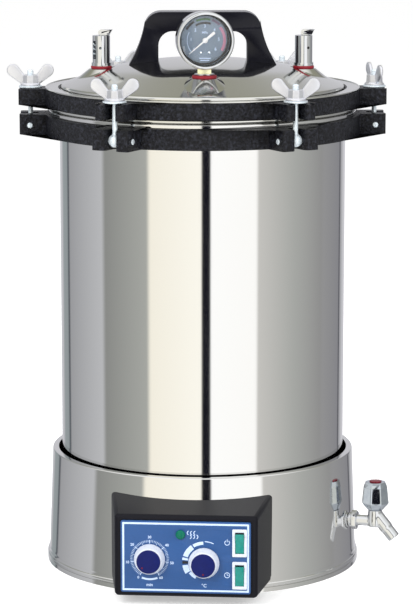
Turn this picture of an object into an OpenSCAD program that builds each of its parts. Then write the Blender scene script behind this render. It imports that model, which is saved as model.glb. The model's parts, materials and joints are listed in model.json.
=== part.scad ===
// Portable autoclave: an electric pressure steriliser with a clamped lid,
// a spun base that holds the electrics, and a drain tap.
// Millimetres, +Z up. The origin is the centre of the foot on the floor,
// and the control panel faces -Y. Turns are counted about +Z from -Y.

/* [Vessel] */
// Inside diameter of the chamber
chamber_d = 280; // [260:2:300]
// Depth of the chamber below its rim
chamber_depth = 377; // [350:1:400]
// Wall of the chamber
chamber_wall = 3; // [2:0.5:4]
// Width of the flange round the chamber's rim
rim_flange_w = 10.5; // [9:0.5:12]
// Thickness of the rim's flange
rim_flange_t = 4.5; // [3:0.5:6]
// Radius of the chamber's bottom corner
vessel_corner_r = 12; // [8:1:16]

/* [Base] */
// Height of the base skirt
skirt_h = 115.5; // [108:0.5:125]
// Sheet thickness of the skirt
skirt_wall = 1.5; // [1:0.25:2]
// Distance from the chamber's wall to the outside of the skirt's top
skirt_room = 9.5; // [8:0.5:12]
// How far the skirt's wall widens downwards
skirt_spread = 3.7; // [2:0.1:5]
// How far the foot bead stands out below the wall
foot_flare = 2.3; // [1.5:0.1:3]
// How deep the chamber stands inside the skirt
vessel_tuck = 35; // [30:1:40]
// Turn of the cable gland
gland_turn = 172; // [150:1:200]

/* [Lid] */
// Turn of the lid from the control panel
lid_turn = 5.6; // [0:0.2:12]
// Sheet thickness of the lid
lid_t = 2; // [1.5:0.25:3]
// Thickness of the lid's flange
lid_flange_t = 4; // [3.5:0.5:6]
// Height of the dome above the upper ring
dome_h = 29.5; // [26:0.5:34]
// Radius of curvature of the dome's crown
crown_r = 450; // [400:10:600]
// Distance from the chamber's wall to where the crown meets the sloping brim
crown_join_in = 45; // [42:1:50]
// Distance from the chamber's wall to the centres of the gauge and valves
fitting_in = 39; // [37:0.5:40]

/* [Clamps] */
// Number of clamps round the lid
clamp_count = 6; // [6:1:6]
// Height of the lower clamp ring
lower_ring_h = 20; // [18:1:24]
// Height of the upper clamp ring
upper_ring_h = 16; // [14:1:20]
// Distance from the chamber's wall to the outside of the clamp rings
ring_w = 14.5; // [13:0.5:16]
// Distance from the chamber's wall to the clamp bolts
bolt_out = 29; // [27:0.5:31]
// Diameter of the eye bolt's shank
bolt_d = 6.6; // [5:0.2:7]
// Span of the wing nut over its wings
wing_span = 47; // [40:1:50]
// Diameter of the clamp washer
washer_d = 23; // [20:1:24]

/* [Handle] */
// Room between the handle's feet and the valves' seats
handle_room = 12; // [9.5:0.5:14.5]
// Width of each of the handle's feet
handle_leg_w = 31.5; // [29.5:0.5:35.5]
// Height of the handle above the dome's crown
handle_h = 46.5; // [42:0.5:52]
// Depth of the handle from front to back
handle_d = 26; // [20:1:30]
// Height of the handle's top bar
handle_bar_h = 19; // [15:0.5:22]

/* [Gauge] */
// Diameter of the gauge's case
gauge_d = 56; // [50:1:62]
// Depth of the gauge's case
gauge_depth = 25; // [20:1:28]
// Turn of the gauge's face from the lid's front
gauge_turn = 6; // [0:1:12]
// Height of the gauge's centre above its seat
gauge_rise = 37; // [35:0.5:42]

/* [Valves] */
// Diameter of the valves' bodies
valve_d = 17.5; // [15:0.5:19]
// Height of the valves' bodies
valve_h = 30; // [26:1:34]

/* [Control box] */
// Width of the control box's front
box_w = 137; // [130:1:145]
// Width of the control box at the skirt
box_back_w = 159; // [152:1:166]
// Height of the control box's front
box_h = 80.5; // [76:0.5:84]
// Height of the control box's underside above the floor
box_z = 9.5; // [7:0.5:12]
// Distance of the control box's front from the skirt's top
box_out = 47.5; // [44:0.5:52]
// Wall of the control box
box_wall = 2.5; // [2:0.25:3]
// Width of the control panel
panel_w = 125; // [120:1:128]
// Height of the control panel
panel_h = 70.5; // [68:0.5:74]
// Diameter of the knobs' skirts
knob_d = 30; // [28:0.5:34]
// Depth of the knobs
knob_depth = 12.5; // [12:0.5:18]

/* [Tap] */
// Turn of the drain tap
tap_turn = 77.5; // [70:0.5:90]
// Height of the tap's barrel above the floor
tap_z = 48; // [44:0.5:54]
// Distance of the tap's handle from the skirt
tap_reach = 27; // [24:0.5:32]
// Diameter of the tap's handle
tap_handle_d = 29; // [24:0.5:32]
// Outside diameter of the spout
spout_d = 12.5; // [11:0.5:14]

/* [Basket] */
// Room between the basket and the chamber's wall
basket_room = 20; // [17:0.5:24]
// Height of the basket
basket_h = 255; // [200:5:265]
// Thickness of the basket's sheet
basket_t = 1.2; // [0.8:0.2:2]
// Radius of the basket's wires
wire_r = 2; // [1.5:0.25:2.5]

/* [Hidden] */
$fn = 96;
arc_steps = 8;
gap = 0.3;          // between bodies that move past each other
fit = 0.1;          // round a pin in its hole
over = 1;           // what a cut runs past the solid

// Chamber and base
chamber_r = chamber_d / 2;
vessel_r = chamber_r + chamber_wall;
vessel_z = skirt_h - vessel_tuck;
floor_z = vessel_z + chamber_wall;
rim_z = floor_z + chamber_depth;
flange_r = vessel_r + rim_flange_w;
skirt_top_r = vessel_r + skirt_room;
skirt_low_r = skirt_top_r + skirt_spread;
foot_r = skirt_low_r + foot_flare;
foot_band_h = 4;    // plain band at the floor
foot_bead_h = 3.2;  // bead above the band
foot_groove = 1;    // groove between band and bead
flare_h = 15;       // height at which the straight wall starts
flare_share = 0.35; // how soon the flare draws in
lip_w = 6;          // flat lip at the skirt's top
lip_r = 1.5;        // rounding of the lip
ledge_t = 4;        // foot ledge that carries the base plate
ledge_w = 14;
shelf_t = 3;        // shelf that carries the chamber
shelf_hold = 6;     // how far the shelf reaches under the chamber's flat bottom
shelf_in_r = vessel_r - vessel_corner_r - shelf_hold;
base_plate_t = 1.5;
base_screw_r = 2;
base_screw_head_r = 3.5;
base_screw_head_h = 1.6;
base_screw_l = 7;
base_screw_count = 4;
base_screw_in_share = 0.65;
base_screw_at = foot_r - ledge_w * base_screw_in_share;
vent_r = 3;
vent_ring_r = 60;
vent_count = 12;
box_hole_r = 22;    // way through the skirt for the wiring

// Heater, rack and drain
heater_in = 50;     // heater and drain from the chamber's wall
heater_r = chamber_r - heater_in;
heater_tube_r = 4;
heater_lift = 12;
heater_gap_turn = 16;
heater_sleeve_r = 5;
terminal_l = 18;
rack_lift = 32;
rack_t = 2;
rack_room = 7;      // round the rack
rack_r = chamber_r - rack_room;
rack_leg_r = 4;
rack_leg_in = 12;
rack_leg_at = rack_r - rack_leg_in;
rack_hole_r = 6;
rack_ring_shares = [0.3, 0.55, 0.76];
rack_hole_counts = [6, 12, 16];
drain_in = 28;
drain_at = chamber_r - drain_in;
drain_r = 6;
drain_bore_r = 4;

// Clamps. Each clamp is drawn with its bolt on +Z and -Y pointing outwards
ring_r = vessel_r + ring_w;
bolt_r = vessel_r + bolt_out;
bolt_sr = bolt_d / 2;
seal_gap = 0.5;     // between the rim and the lid's flange
lid_z = rim_z + seal_gap;
ring_z = rim_z - rim_flange_t - lower_ring_h;
upper_z = lid_z + lid_flange_t;
ring_top = upper_z + upper_ring_h;
pin_r = 3;
pin_rise_share = 0.45;
pin_z = ring_z + lower_ring_h * pin_rise_share;
pin_l = 41;
eye_r = 6.5;
eye_t = 9.4;
shank_r = 2.4;      // waisted shank below the bolt's thread
thread_low = 1;     // thread below the washer
slot_w = 11;
slot_mouth_r = 5;
lower_lug_w = 40;
lower_lug_out = 10.5;
upper_lug_w = 32;
upper_lug_out = 11.5;
lug_corner_r = 2.5;
slot_back = 5;
eye_back = 8;
relief_w = 26;
washer_t = 1.8;
washer_z = ring_top + gap;
hub_r = 8.7;
hub_top_r = 7.8;
hub_h = 10.5;
wing_h = 21.5;
wing_t = 3;
wing_tip_r = 6.3;
wing_root_r = 3.4;
bolt_tip = 17.5;
wing_turns = [-31, 14, 40, -25, 90, 29];
clamp_turns = [for (i = [0:clamp_count - 1]) lid_turn + (i + 0.5) * 360 / clamp_count];

// Lid
apex_z = ring_top + dome_h;
neck_in = 0.5;      // neck inside the chamber's outside
neck_r = vessel_r - neck_in;
dome_edge_in = 1;
dome_edge_r = neck_r - dome_edge_in;
gasket_out = 1.5;
gasket_in_r = vessel_r + gasket_out;
gasket_w = 5.5;
gasket_deep = 2;
crown_join_r = chamber_r - crown_join_in;
fitting_r = chamber_r - fitting_in;
seat_rise = 2;      // seat above the dome under its centre
seat_z = crown_z(fitting_r) + seat_rise;
seat_r = 13.5;
seat_deep = 7;
fitting_bore_r = 4;
red_washer_t = 3;
gauge_washer_r = 12;
valve_washer_r = 10.5;
handle_foot_w = 2 * (fitting_r - seat_r - handle_room);
handle_window_w = handle_foot_w - 2 * handle_leg_w;
handle_lean = 19.5; // from a foot's outer edge to the top's
handle_top_w = handle_foot_w - 2 * handle_lean;
handle_top_r = 17;
handle_window_r = 14;
handle_waist_share = 0.22;
handle_screw_r = 3;
handle_screw_head_r = 5.5;
handle_screw_head_h = 3;
handle_screw_l = 16;
handle_screw_x = (handle_foot_w + handle_window_w) / 4;
handle_base_z = crown_z(handle_screw_x);

// Gauge
gauge_r = gauge_d / 2;
gauge_z = seat_z + gauge_rise;
gauge_wall = 1.5;
bezel_w = 3.2;
dial_t = 1;
glass_t = 1.5;
dial_deep = 6;      // face of the dial behind the case's front
pointer_hub_r = 2.6;
pointer_l = 19;
pointer_tail = 8;
pointer_w = 1.6;
pointer_t = 0.6;
pointer_rest = 135; // turn of the pointer at zero, from straight up
stem_hex_r = 8;
stem_hex_h = 6;
stem_nut_r = 10;
stem_nut_h = 3.2;

// Valves
valve_z = seat_z + red_washer_t;
collar_r = 9.8;
collar_h = 3;
valve_bore_r = 6.9;
valve_floor = 6;
valve_cap_t = 2;
spring_r = 5.6;
spring_wire_r = 1;
spring_turns = 4;
spring_sides = 6;
spring_rings = 8;
window_w = 5.4;
window_h = 18;
window_turn = 35;   // of the spring's windows, from outwards to the front
vent_hole_r = 1.3;
vent_drop = 12;     // vent hole below the body's top
vent_turn = 35;     // of the release valve's vent hole, from the front
lever_w = 7.4;
lever_l = 8;
lever_slant = 3;    // how far the lever's end leans out
lever_pin_r = 1;
lever_pin_over = 0.4;
lever_pin_rise = 3.1;
cheek_t = 1;
cheek_r = 2.8;
post_r = 2.2;
post_over_pin = 1.6;
hose_r = 4.5;
hose_bore_r = 3;
hose_lift = 60;     // hose end above the rack
hose_end_z = floor_z + rack_lift + hose_lift;

// Control box. The panel's pieces are placed from the panel's centre
box_y = skirt_top_r + box_out;
box_top_rise = 6.5;
box_side_d = 71;
box_edge_r = 4;
panel_t = 2;
panel_z = box_z + box_h / 2;
panel_y = box_y + panel_t;
panel_corner_r = 2;
panel_window_margin = 4;
timer_x = -34.7;
timer_dz = -2.2;
thermo_x = 17.7;
thermo_dz = -5;
knob_skirt_t = 4;
knob_grip_r = 11.2;
knob_edge_r = 1.2;
knob_recess_r = 5;
knob_recess_h = 3;
spindle_r = 3;
spindle_l = 16;
bush_r = 4.2;
bush_out = 2;
unit_w = 40;
unit_d = 26;
unit_corner_r = 3;
lamp_x = -5;
lamp_dz = 22.3;
lamp_r = 4.5;
lamp_h = 2.6;
lamp_stem_r = 3.6;
lamp_l = 16;
rocker_x = 51.9;
rocker_dzs = [15.2, -16.8];
rocker_tilts = [8, 8];
rocker_w = 8.2;
rocker_h = 19.6;
rocker_swell = 1.2;
rocker_nose = 3.2;
rocker_back = 3;
rocker_back_share = 0.8;
rocker_pivot_deep = 2;
rocker_pin_r = 1;
rocker_pin_l = 1;
bezel_sw_w = 14;
bezel_sw_h = 27;
bezel_sw_t = 1.5;
switch_w = 12.4;
switch_h = 23.5;
switch_d = 18;

// Tap and gland
tap_skirt_r = skirt_r_at(tap_z);
tap_r = tap_skirt_r + tap_reach;
barrel_r = 5.5;
barrel_bore_r = 3.5;
tap_collar_r = 7.6;
tap_collar_t = 2.5;
tap_nut_r = 10;
tap_nut_t = 6;
tap_inside_l = 7;
bonnet_r = 8;
bonnet_top_r = 7;
bonnet_low = 4.6;
bonnet_h = 12;      // bonnet above the barrel's axis
bonnet_z = tap_z + bonnet_h;
tap_spindle_r = 3.2;
tap_handle_z = bonnet_z + gap;
tap_handle_h = 28.5;
tap_handle_low_share = 0.62;
tap_handle_top_share = 0.8;
tap_handle_belly_share = 0.27;
tap_cap_r = 7;
tap_cap_t = 1.5;
spout_drop = 50;
spout_l = 31;
spout_rise = 8;     // spout's start above the barrel's axis
spout_z = tap_z + spout_rise;
spout_wall = 1.6;
spout_tail_l = 13;  // end that a hose is pushed on
spout_step = 0.4;   // shoulder that the hose meets
gland_z = 40;
gland_bore_r = 3.6;
gland_hex_r = 11;
gland_hex_t = 5;
gland_body_r = 8;
gland_body_l = 14;
gland_inside_l = 8;

// Basket
basket_r = chamber_r - basket_room;
basket_z = floor_z + rack_lift + rack_t + gap;
basket_rim_z = basket_z + basket_h;
basket_hole_r = 5;
basket_wall_counts = 16;
basket_wall_rows = 3;
basket_floor_shares = [0.35, 0.7];
basket_floor_counts = [6, 12];
guide_r = 6.9;
guide_wall = 1.3;
guide_foot = 24;
web_t = 1.5;
bail_z = basket_rim_z + 2 * wire_r + gap;
bail_r = basket_r;
ear_w = 14;
ear_t = 2;
ear_h = 24;
ear_in_r = basket_r + wire_r;

// Radius of the skirt's outside at height z
function skirt_r_at(z) =
    skirt_low_r - skirt_spread * (z - flare_h) / (skirt_h - flare_h);

// Height of the lid's outside at radius r: a spherical crown and a sloping brim
function crown_z(r) =
    let (join_z = apex_z - crown_r + sqrt(pow(crown_r, 2) - pow(crown_join_r, 2)))
    r <= crown_join_r
        ? apex_z - crown_r + sqrt(pow(crown_r, 2) - pow(r, 2))
        : join_z + (ring_top - join_z) * (r - crown_join_r) / (dome_edge_r - crown_join_r);

// Points of an arc, and of a corner rounded to radius r
function arc(c, r, from, to, n = arc_steps) =
    [for (i = [0:n]) let (a = from + (to - from) * i / n) c + r * [cos(a), sin(a)]];
function unit(v) = v / norm(v);
function corner(p, q, s, r) =
    let (u = unit(p - q), v = unit(s - q), half = acos(u * v) / 2)
    let (c = q + unit(u + v) * r / sin(half), t = q + u * r / tan(half) - c)
    let (w = q + v * r / tan(half) - c, from = atan2(t[1], t[0]))
    let (sweep = (atan2(w[1], w[0]) - from + 540) % 360 - 180)
    r == 0 ? [q] : arc(c, r, from, from + sweep);
function rounded(pts, radii) =
    let (n = len(pts))
    [for (i = [0:n - 1]) each corner(pts[(i + n - 1) % n], pts[i], pts[(i + 1) % n], radii[i])];
function rect(w, h) = [[-w / 2, -h / 2], [w / 2, -h / 2], [w / 2, h / 2], [-w / 2, h / 2]];

// Places its children at a turn, a radius and a height
module at(turn, r = 0, z = 0) {
    rotate([0, 0, turn]) translate([0, -r, z]) children();
}

// A cylinder that runs outwards, along -Y
module outward(r, h) {
    rotate([90, 0, 0]) cylinder(r = r, h = h);
}

// Cylinders along X and along Y, centred
module across(r, l) {
    rotate([0, 90, 0]) cylinder(r = r, h = l, center = true);
}
module along(r, l) {
    rotate([90, 0, 0]) cylinder(r = r, h = l, center = true);
}

// A plate with rounded corners that faces -Y, its back at y = 0
module panel_plate(w, h, r, t) {
    rotate([90, 0, 0]) linear_extrude(t) polygon(rounded(rect(w, h), [r, r, r, r]));
}

// A ring with plain walls
module ring(outer, inner, h) {
    difference() {
        cylinder(r = outer, h = h);
        translate([0, 0, -over]) cylinder(r = inner, h = h + 2 * over);
    }
}

/* Base */

module skirt_profile() {
    inner_low = skirt_low_r - skirt_wall;
    inner_top = skirt_r_at(skirt_h - lip_r) - skirt_wall;
    bead_z = foot_band_h + foot_bead_h;
    polygon(concat(
        [[foot_r - ledge_w, 0], [foot_r, 0], [foot_r, foot_band_h],
         [foot_r - foot_groove, foot_band_h + foot_groove],
         [foot_r - foot_groove / 2, bead_z],
         [skirt_low_r + foot_flare * flare_share, bead_z + (flare_h - bead_z) * flare_share],
         [skirt_low_r, flare_h], [skirt_top_r, skirt_h - lip_r]],
        arc([skirt_top_r - lip_r, skirt_h - lip_r], lip_r, 0, 90),
        [[skirt_top_r - lip_w, skirt_h], [skirt_top_r - lip_w, skirt_h - skirt_wall],
         [inner_top, skirt_h - skirt_wall], [inner_low, flare_h], [inner_low, ledge_t],
         [foot_r - ledge_w, ledge_t]]));
}

module base_skirt() {
    color("lightgray") difference() {
        union() {
            rotate_extrude() skirt_profile();
            translate([0, 0, vessel_z - shelf_t])
                ring(skirt_r_at(vessel_z) - skirt_wall / 2, shelf_in_r, shelf_t);
        }
        at(0, skirt_top_r - lip_w, panel_z) outward(box_hole_r, 2 * lip_w + foot_flare);
        at(tap_turn, tap_skirt_r - 2 * skirt_wall, tap_z) outward(barrel_r + fit, 4 * skirt_wall);
        at(gland_turn, skirt_r_at(gland_z) - 2 * skirt_wall, gland_z)
            outward(gland_body_r + fit, 4 * skirt_wall);
        for (i = [0:base_screw_count - 1]) at((i + 0.5) * 360 / base_screw_count, base_screw_at) {
            translate([0, 0, -over]) cylinder(r = base_screw_r + fit, h = ledge_t + 2 * over);
            translate([0, 0, -over])
                cylinder(r = base_screw_head_r + fit, h = over + base_screw_head_h + gap);
        }
    }
}

module base_plate() {
    color("silver") difference() {
        translate([0, 0, ledge_t]) cylinder(r = skirt_low_r - skirt_wall - gap, h = base_plate_t);
        for (i = [0:base_screw_count - 1]) at((i + 0.5) * 360 / base_screw_count, base_screw_at)
            cylinder(r = base_screw_r + fit, h = ledge_t + base_plate_t + over);
        for (i = [0:vent_count - 1]) at(i * 360 / vent_count, vent_ring_r)
            cylinder(r = vent_r, h = ledge_t + base_plate_t + over);
    }
}

module base_screws() {
    color("silver") for (i = [0:base_screw_count - 1])
        at((i + 0.5) * 360 / base_screw_count, base_screw_at, gap) {
            cylinder(r = base_screw_head_r, h = base_screw_head_h);
            cylinder(r = base_screw_r, h = base_screw_l);
        }
}

/* Chamber, heater, rack and drain */

module vessel_profile() {
    in_corner = vessel_corner_r - chamber_wall;
    polygon(concat(
        [[0, vessel_z]],
        arc([vessel_r - vessel_corner_r, vessel_z + vessel_corner_r], vessel_corner_r, -90, 0),
        [[vessel_r, rim_z - rim_flange_t], [flange_r - rim_flange_t / 2, rim_z - rim_flange_t]],
        arc([flange_r - rim_flange_t / 2, rim_z - rim_flange_t / 2], rim_flange_t / 2, -90, 90),
        [[chamber_r, rim_z]],
        arc([chamber_r - in_corner, floor_z + in_corner], in_corner, 0, -90),
        [[0, floor_z]]));
}

module vessel() {
    color("gainsboro") difference() {
        rotate_extrude() vessel_profile();
        at(tap_turn, drain_at, vessel_z - over) cylinder(r = drain_r + fit, h = chamber_wall + 2 * over);
        for (side = [-1, 1]) at(180 + side * heater_gap_turn / 2, heater_r, vessel_z - over)
            cylinder(r = heater_tube_r + fit, h = chamber_wall + 2 * over);
    }
}

module heater_element() {
    tube_z = floor_z + heater_lift;
    color("dimgray") {
        translate([0, 0, tube_z]) rotate([0, 0, 90 + heater_gap_turn / 2])
            rotate_extrude(angle = 360 - heater_gap_turn) translate([heater_r, 0]) circle(r = heater_tube_r);
        for (side = [-1, 1]) at(180 + side * heater_gap_turn / 2, heater_r, vessel_z - terminal_l) {
            cylinder(r = heater_tube_r, h = terminal_l + chamber_wall + gap);
            translate([0, 0, terminal_l + chamber_wall])
                cylinder(r = heater_sleeve_r, h = heater_lift + heater_sleeve_r);
        }
    }
}

module drain_pipe() {
    low_l = tap_skirt_r - tap_inside_l - drain_at;
    color("silver") at(tap_turn, drain_at, tap_z) difference() {
        union() {
            cylinder(r = drain_r, h = floor_z - tap_z);
            sphere(r = drain_r);
            outward(drain_r, low_l);
        }
        cylinder(r = drain_bore_r, h = floor_z - tap_z + over);
        outward(drain_bore_r, low_l + over);
        sphere(r = drain_bore_r);
    }
}

module support_rack() {
    color("lightgray") translate([0, 0, floor_z]) {
        for (i = [0:2]) at(i * 120, rack_leg_at) cylinder(r = rack_leg_r, h = rack_lift + rack_t / 2);
        translate([0, 0, rack_lift]) difference() {
            cylinder(r = rack_r, h = rack_t);
            translate([0, 0, -over]) cylinder(r = rack_hole_r, h = rack_t + 2 * over);
            for (row = [0:2], i = [0:rack_hole_counts[row] - 1])
                at((i + 0.5) * 360 / rack_hole_counts[row], rack_r * rack_ring_shares[row], -over)
                    cylinder(r = rack_hole_r, h = rack_t + 2 * over);
        }
    }
}

/* Basket */

module basket() {
    color("lightgray") difference() {
        translate([0, 0, basket_z]) {
            difference() {
                cylinder(r = basket_r, h = basket_h);
                translate([0, 0, basket_t]) cylinder(r = basket_r - basket_t, h = basket_h);
            }
            translate([0, 0, basket_h]) rotate_extrude() translate([basket_r, 0]) circle(r = wire_r);
            at(lid_turn + 90, fitting_r, guide_foot) {
                cylinder(r = guide_r, h = basket_h - guide_foot);
                for (z = [guide_foot, basket_h - 2 * guide_foot])
                    translate([-web_t / 2, fitting_r - basket_r + basket_t / 2, z])
                        cube([web_t, basket_r - fitting_r - basket_t, guide_foot / 2]);
            }
            for (side = [0, 180]) at(lid_turn + side, ear_in_r + ear_t, basket_h - ear_h / 2)
                translate([-ear_w / 2, 0, 0]) cube([ear_w, ear_t, ear_h]);
        }
        at(lid_turn + 90, fitting_r, basket_z + basket_t)
            cylinder(r = guide_r - guide_wall, h = basket_h + over);
        for (side = [0, 180]) at(lid_turn + side, ear_in_r - over, bail_z)
            outward(wire_r + fit, ear_t + 2 * over);
        for (row = [1:basket_wall_rows], i = [0:basket_wall_counts - 1])
            at(lid_turn + (i + 0.5) * 360 / basket_wall_counts, basket_r - 2 * basket_t,
                basket_z + row * basket_h / (basket_wall_rows + 1))
                outward(basket_hole_r, 4 * basket_t);
        for (row = [0:1], i = [0:basket_floor_counts[row] - 1])
            at(i * 360 / basket_floor_counts[row], basket_r * basket_floor_shares[row], basket_z - over)
                cylinder(r = basket_hole_r, h = basket_t + 2 * over);
    }
}

module basket_bail() {
    color("silver") translate([0, 0, bail_z]) rotate([0, 0, lid_turn]) {
        rotate([0, 0, 90]) rotate_extrude(angle = 180) translate([bail_r, 0]) circle(r = wire_r);
        for (side = [0, 180]) at(side, bail_r) outward(wire_r, ear_t + 3 * wire_r);
    }
}

/* Clamps */

// A lug of width w and height h whose outer face is reach beyond the bolt
module lug(w, h, reach) {
    back = bolt_r - ring_r + 2 * lug_corner_r;
    outline = [[-w / 2, -reach], [w / 2, -reach], [w / 2, back], [-w / 2, back]];
    linear_extrude(h) polygon(rounded(outline, [lug_corner_r, lug_corner_r, 0, 0]));
}

// A slot of height h from a lug's outer face to back behind the bolt, with a rounded mouth
module lug_slot(reach, back, h) {
    half = slot_w / 2;
    wide = half + slot_mouth_r + over;
    outline = [[-wide, -reach - over], [wide, -reach - over], [wide, -reach], [half, -reach],
               [half, back], [-half, back], [-half, -reach], [-wide, -reach]];
    linear_extrude(h) polygon(rounded(outline, [0, 0, 0, slot_mouth_r, 0, 0, slot_mouth_r, 0]));
}

module lower_clamp_ring() {
    color("darkslategray") difference() {
        union() {
            translate([0, 0, ring_z]) ring(ring_r, vessel_r + gap, lower_ring_h);
            for (turn = clamp_turns) at(turn, bolt_r, ring_z) lug(lower_lug_w, lower_ring_h, lower_lug_out);
        }
        for (turn = clamp_turns) at(turn, bolt_r) {
            translate([0, 0, ring_z - over]) lug_slot(lower_lug_out, eye_back, lower_ring_h + 2 * over);
            translate([0, 0, pin_z]) across(pin_r + fit / 2, lower_lug_w + 2 * over);
        }
        translate([0, 0, ring_z - over]) cylinder(r = vessel_r + gap, h = lower_ring_h + 2 * over);
    }
}

module clamp_pins() {
    color("silver") for (turn = clamp_turns) at(turn, bolt_r, pin_z) across(pin_r, pin_l);
}

module eye_bolt(turn) {
    color("silver") at(turn, bolt_r) difference() {
        union() {
            translate([0, 0, pin_z]) across(eye_r, eye_t);
            translate([0, 0, pin_z]) cylinder(r = shank_r, h = washer_z - pin_z);
            translate([0, 0, washer_z - thread_low]) cylinder(r = bolt_sr, h = thread_low + bolt_tip);
        }
        translate([0, 0, pin_z]) across(pin_r + fit, slot_w + over);
    }
}

module clamp_washer(turn) {
    color("silver") at(turn, bolt_r, washer_z) ring(washer_d / 2, bolt_sr + fit, washer_t);
}

module wing_nut(turn, wing_turn) {
    tip = wing_span / 2 - wing_tip_r;
    color("white") at(turn, bolt_r, washer_z + washer_t) rotate([0, 0, wing_turn]) difference() {
        union() {
            cylinder(r1 = hub_r, r2 = hub_top_r, h = hub_h);
            for (side = [-1, 1]) rotate([90, 0, 0]) translate([0, 0, -wing_t / 2]) hull() {
                translate([side * (hub_top_r - wing_root_r), wing_root_r])
                    cylinder(r = wing_root_r, h = wing_t, $fn = 32);
                translate([side * tip, wing_h - wing_tip_r]) cylinder(r = wing_tip_r, h = wing_t, $fn = 32);
            }
        }
        translate([0, 0, -over]) cylinder(r = bolt_sr + fit, h = wing_h + 2 * over);
    }
}

// Clears the washer's path, so that it swings off the lug with the bolt
module swing_relief() {
    reach = upper_lug_out + over;
    difference() {
        translate([-relief_w / 2, -reach, upper_z]) cube([relief_w, reach, upper_ring_h + over]);
        translate([0, 0, pin_z]) across(washer_z - pin_z - gap, relief_w + over);
    }
}

module upper_clamp_ring() {
    color("darkslategray") difference() {
        union() {
            translate([0, 0, upper_z]) ring(ring_r, neck_r + gap, upper_ring_h);
            for (turn = clamp_turns) at(turn, bolt_r, upper_z) lug(upper_lug_w, upper_ring_h, upper_lug_out);
        }
        for (turn = clamp_turns) at(turn, bolt_r) {
            translate([0, 0, upper_z - over]) lug_slot(upper_lug_out, slot_back, upper_ring_h + 2 * over);
            swing_relief();
        }
        translate([0, 0, upper_z - over]) cylinder(r = neck_r + gap, h = upper_ring_h + 2 * over);
    }
}

/* Lid */

module lid_profile() {
    steps = 12;
    crown = [for (i = [0:steps]) let (r = crown_join_r * i / steps) [r, crown_z(r)]];
    under = [for (i = [steps:-1:0]) let (r = crown_join_r * i / steps) [r, crown_z(r) - lid_t]];
    polygon(concat(
        crown,
        [[dome_edge_r, ring_top], [neck_r, ring_top - lid_t / 2], [neck_r, upper_z],
         [flange_r - lid_t, upper_z], [flange_r, upper_z - lid_t / 2], [flange_r, lid_z],
         [neck_r - lid_t, lid_z], [neck_r - lid_t, ring_top - 2 * lid_t]],
        under));
}

module lid_dome() {
    color("gainsboro") difference() {
        union() {
            difference() {
                rotate_extrude() lid_profile();
                for (side = [-90, 0, 90]) at(lid_turn + side, fitting_r, seat_z)
                    cylinder(r = seat_r, h = dome_h);
            }
            for (side = [-90, 0, 90]) at(lid_turn + side, fitting_r, seat_z - seat_deep)
                cylinder(r = seat_r, h = seat_deep);
        }
        translate([0, 0, lid_z - over]) ring(gasket_in_r + gasket_w, gasket_in_r, gasket_deep + over);
        for (side = [-90, 0, 90]) at(lid_turn + side, fitting_r, seat_z - seat_deep - over)
            cylinder(r = fitting_bore_r + fit, h = seat_deep + 2 * over);
        for (side = [-1, 1]) rotate([0, 0, lid_turn])
            translate([side * handle_screw_x, 0, handle_base_z - handle_screw_l])
            cylinder(r = handle_screw_r + fit, h = 2 * handle_screw_l);
    }
}

module lid_gasket() {
    color("ivory") translate([0, 0, rim_z + gap])
        ring(gasket_in_r + gasket_w - fit, gasket_in_r + fit, lid_z + gasket_deep - rim_z - gap);
}

module handle_outline() {
    foot_x = handle_foot_w / 2;
    top_z = apex_z + handle_h;
    foot_z = handle_base_z - 2 * handle_screw_head_h;
    waist = [handle_top_w / 2 + (handle_foot_w - handle_top_w) / 2 * handle_waist_share,
             foot_z + (top_z - foot_z) / 2];
    points = [[-foot_x, foot_z], [foot_x, foot_z], waist, [handle_top_w / 2, top_z],
              [-handle_top_w / 2, top_z], [-waist[0], waist[1]]];
    polygon(rounded(points, [0, 0, handle_top_w, handle_top_r, handle_top_r, handle_top_w]));
}

module handle_window() {
    w = handle_window_w / 2;
    low = handle_base_z - 3 * handle_screw_head_h;
    high = apex_z + handle_h - handle_bar_h;
    points = [[-w, low], [w, low], [w, high], [-w, high]];
    polygon(rounded(points, [0, 0, handle_window_r, handle_window_r]));
}

module lid_handle() {
    color("black") rotate([0, 0, lid_turn]) difference() {
        rotate([90, 0, 0]) translate([0, 0, -handle_d / 2]) linear_extrude(handle_d) difference() {
            handle_outline();
            handle_window();
        }
        translate([0, 0, apex_z - crown_r]) sphere(r = crown_r + fit);
        for (side = [-1, 1]) translate([side * handle_screw_x, 0, handle_base_z - handle_screw_l])
            cylinder(r = handle_screw_r + fit, h = 2 * handle_screw_l);
    }
}

module handle_screws() {
    color("silver") rotate([0, 0, lid_turn]) for (side = [-1, 1])
        translate([side * handle_screw_x, 0, handle_base_z - 2 * lid_t - handle_screw_head_h]) {
            cylinder(r = handle_screw_head_r, h = handle_screw_head_h);
            cylinder(r = handle_screw_r, h = handle_screw_head_h + handle_screw_l);
        }
}

/* Gauge */

// Places the gauge's pieces with the centre of the case's front at the origin
module at_gauge() {
    at(lid_turn, fitting_r, gauge_z) rotate([0, 0, gauge_turn]) translate([0, -gauge_depth / 2, 0])
        children();
}

module gauge_case() {
    color("silver") difference() {
        at_gauge() difference() {
            translate([0, gauge_depth, 0]) outward(gauge_r, gauge_depth);
            translate([0, gauge_depth - gauge_wall, 0])
                outward(gauge_r - gauge_wall, gauge_depth - 2 * gauge_wall);
            translate([0, gauge_wall + over, 0]) outward(gauge_r - bezel_w, gauge_wall + 2 * over);
        }
        at(lid_turn, fitting_r, seat_z) cylinder(r = fitting_bore_r + fit, h = gauge_rise);
    }
}

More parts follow.
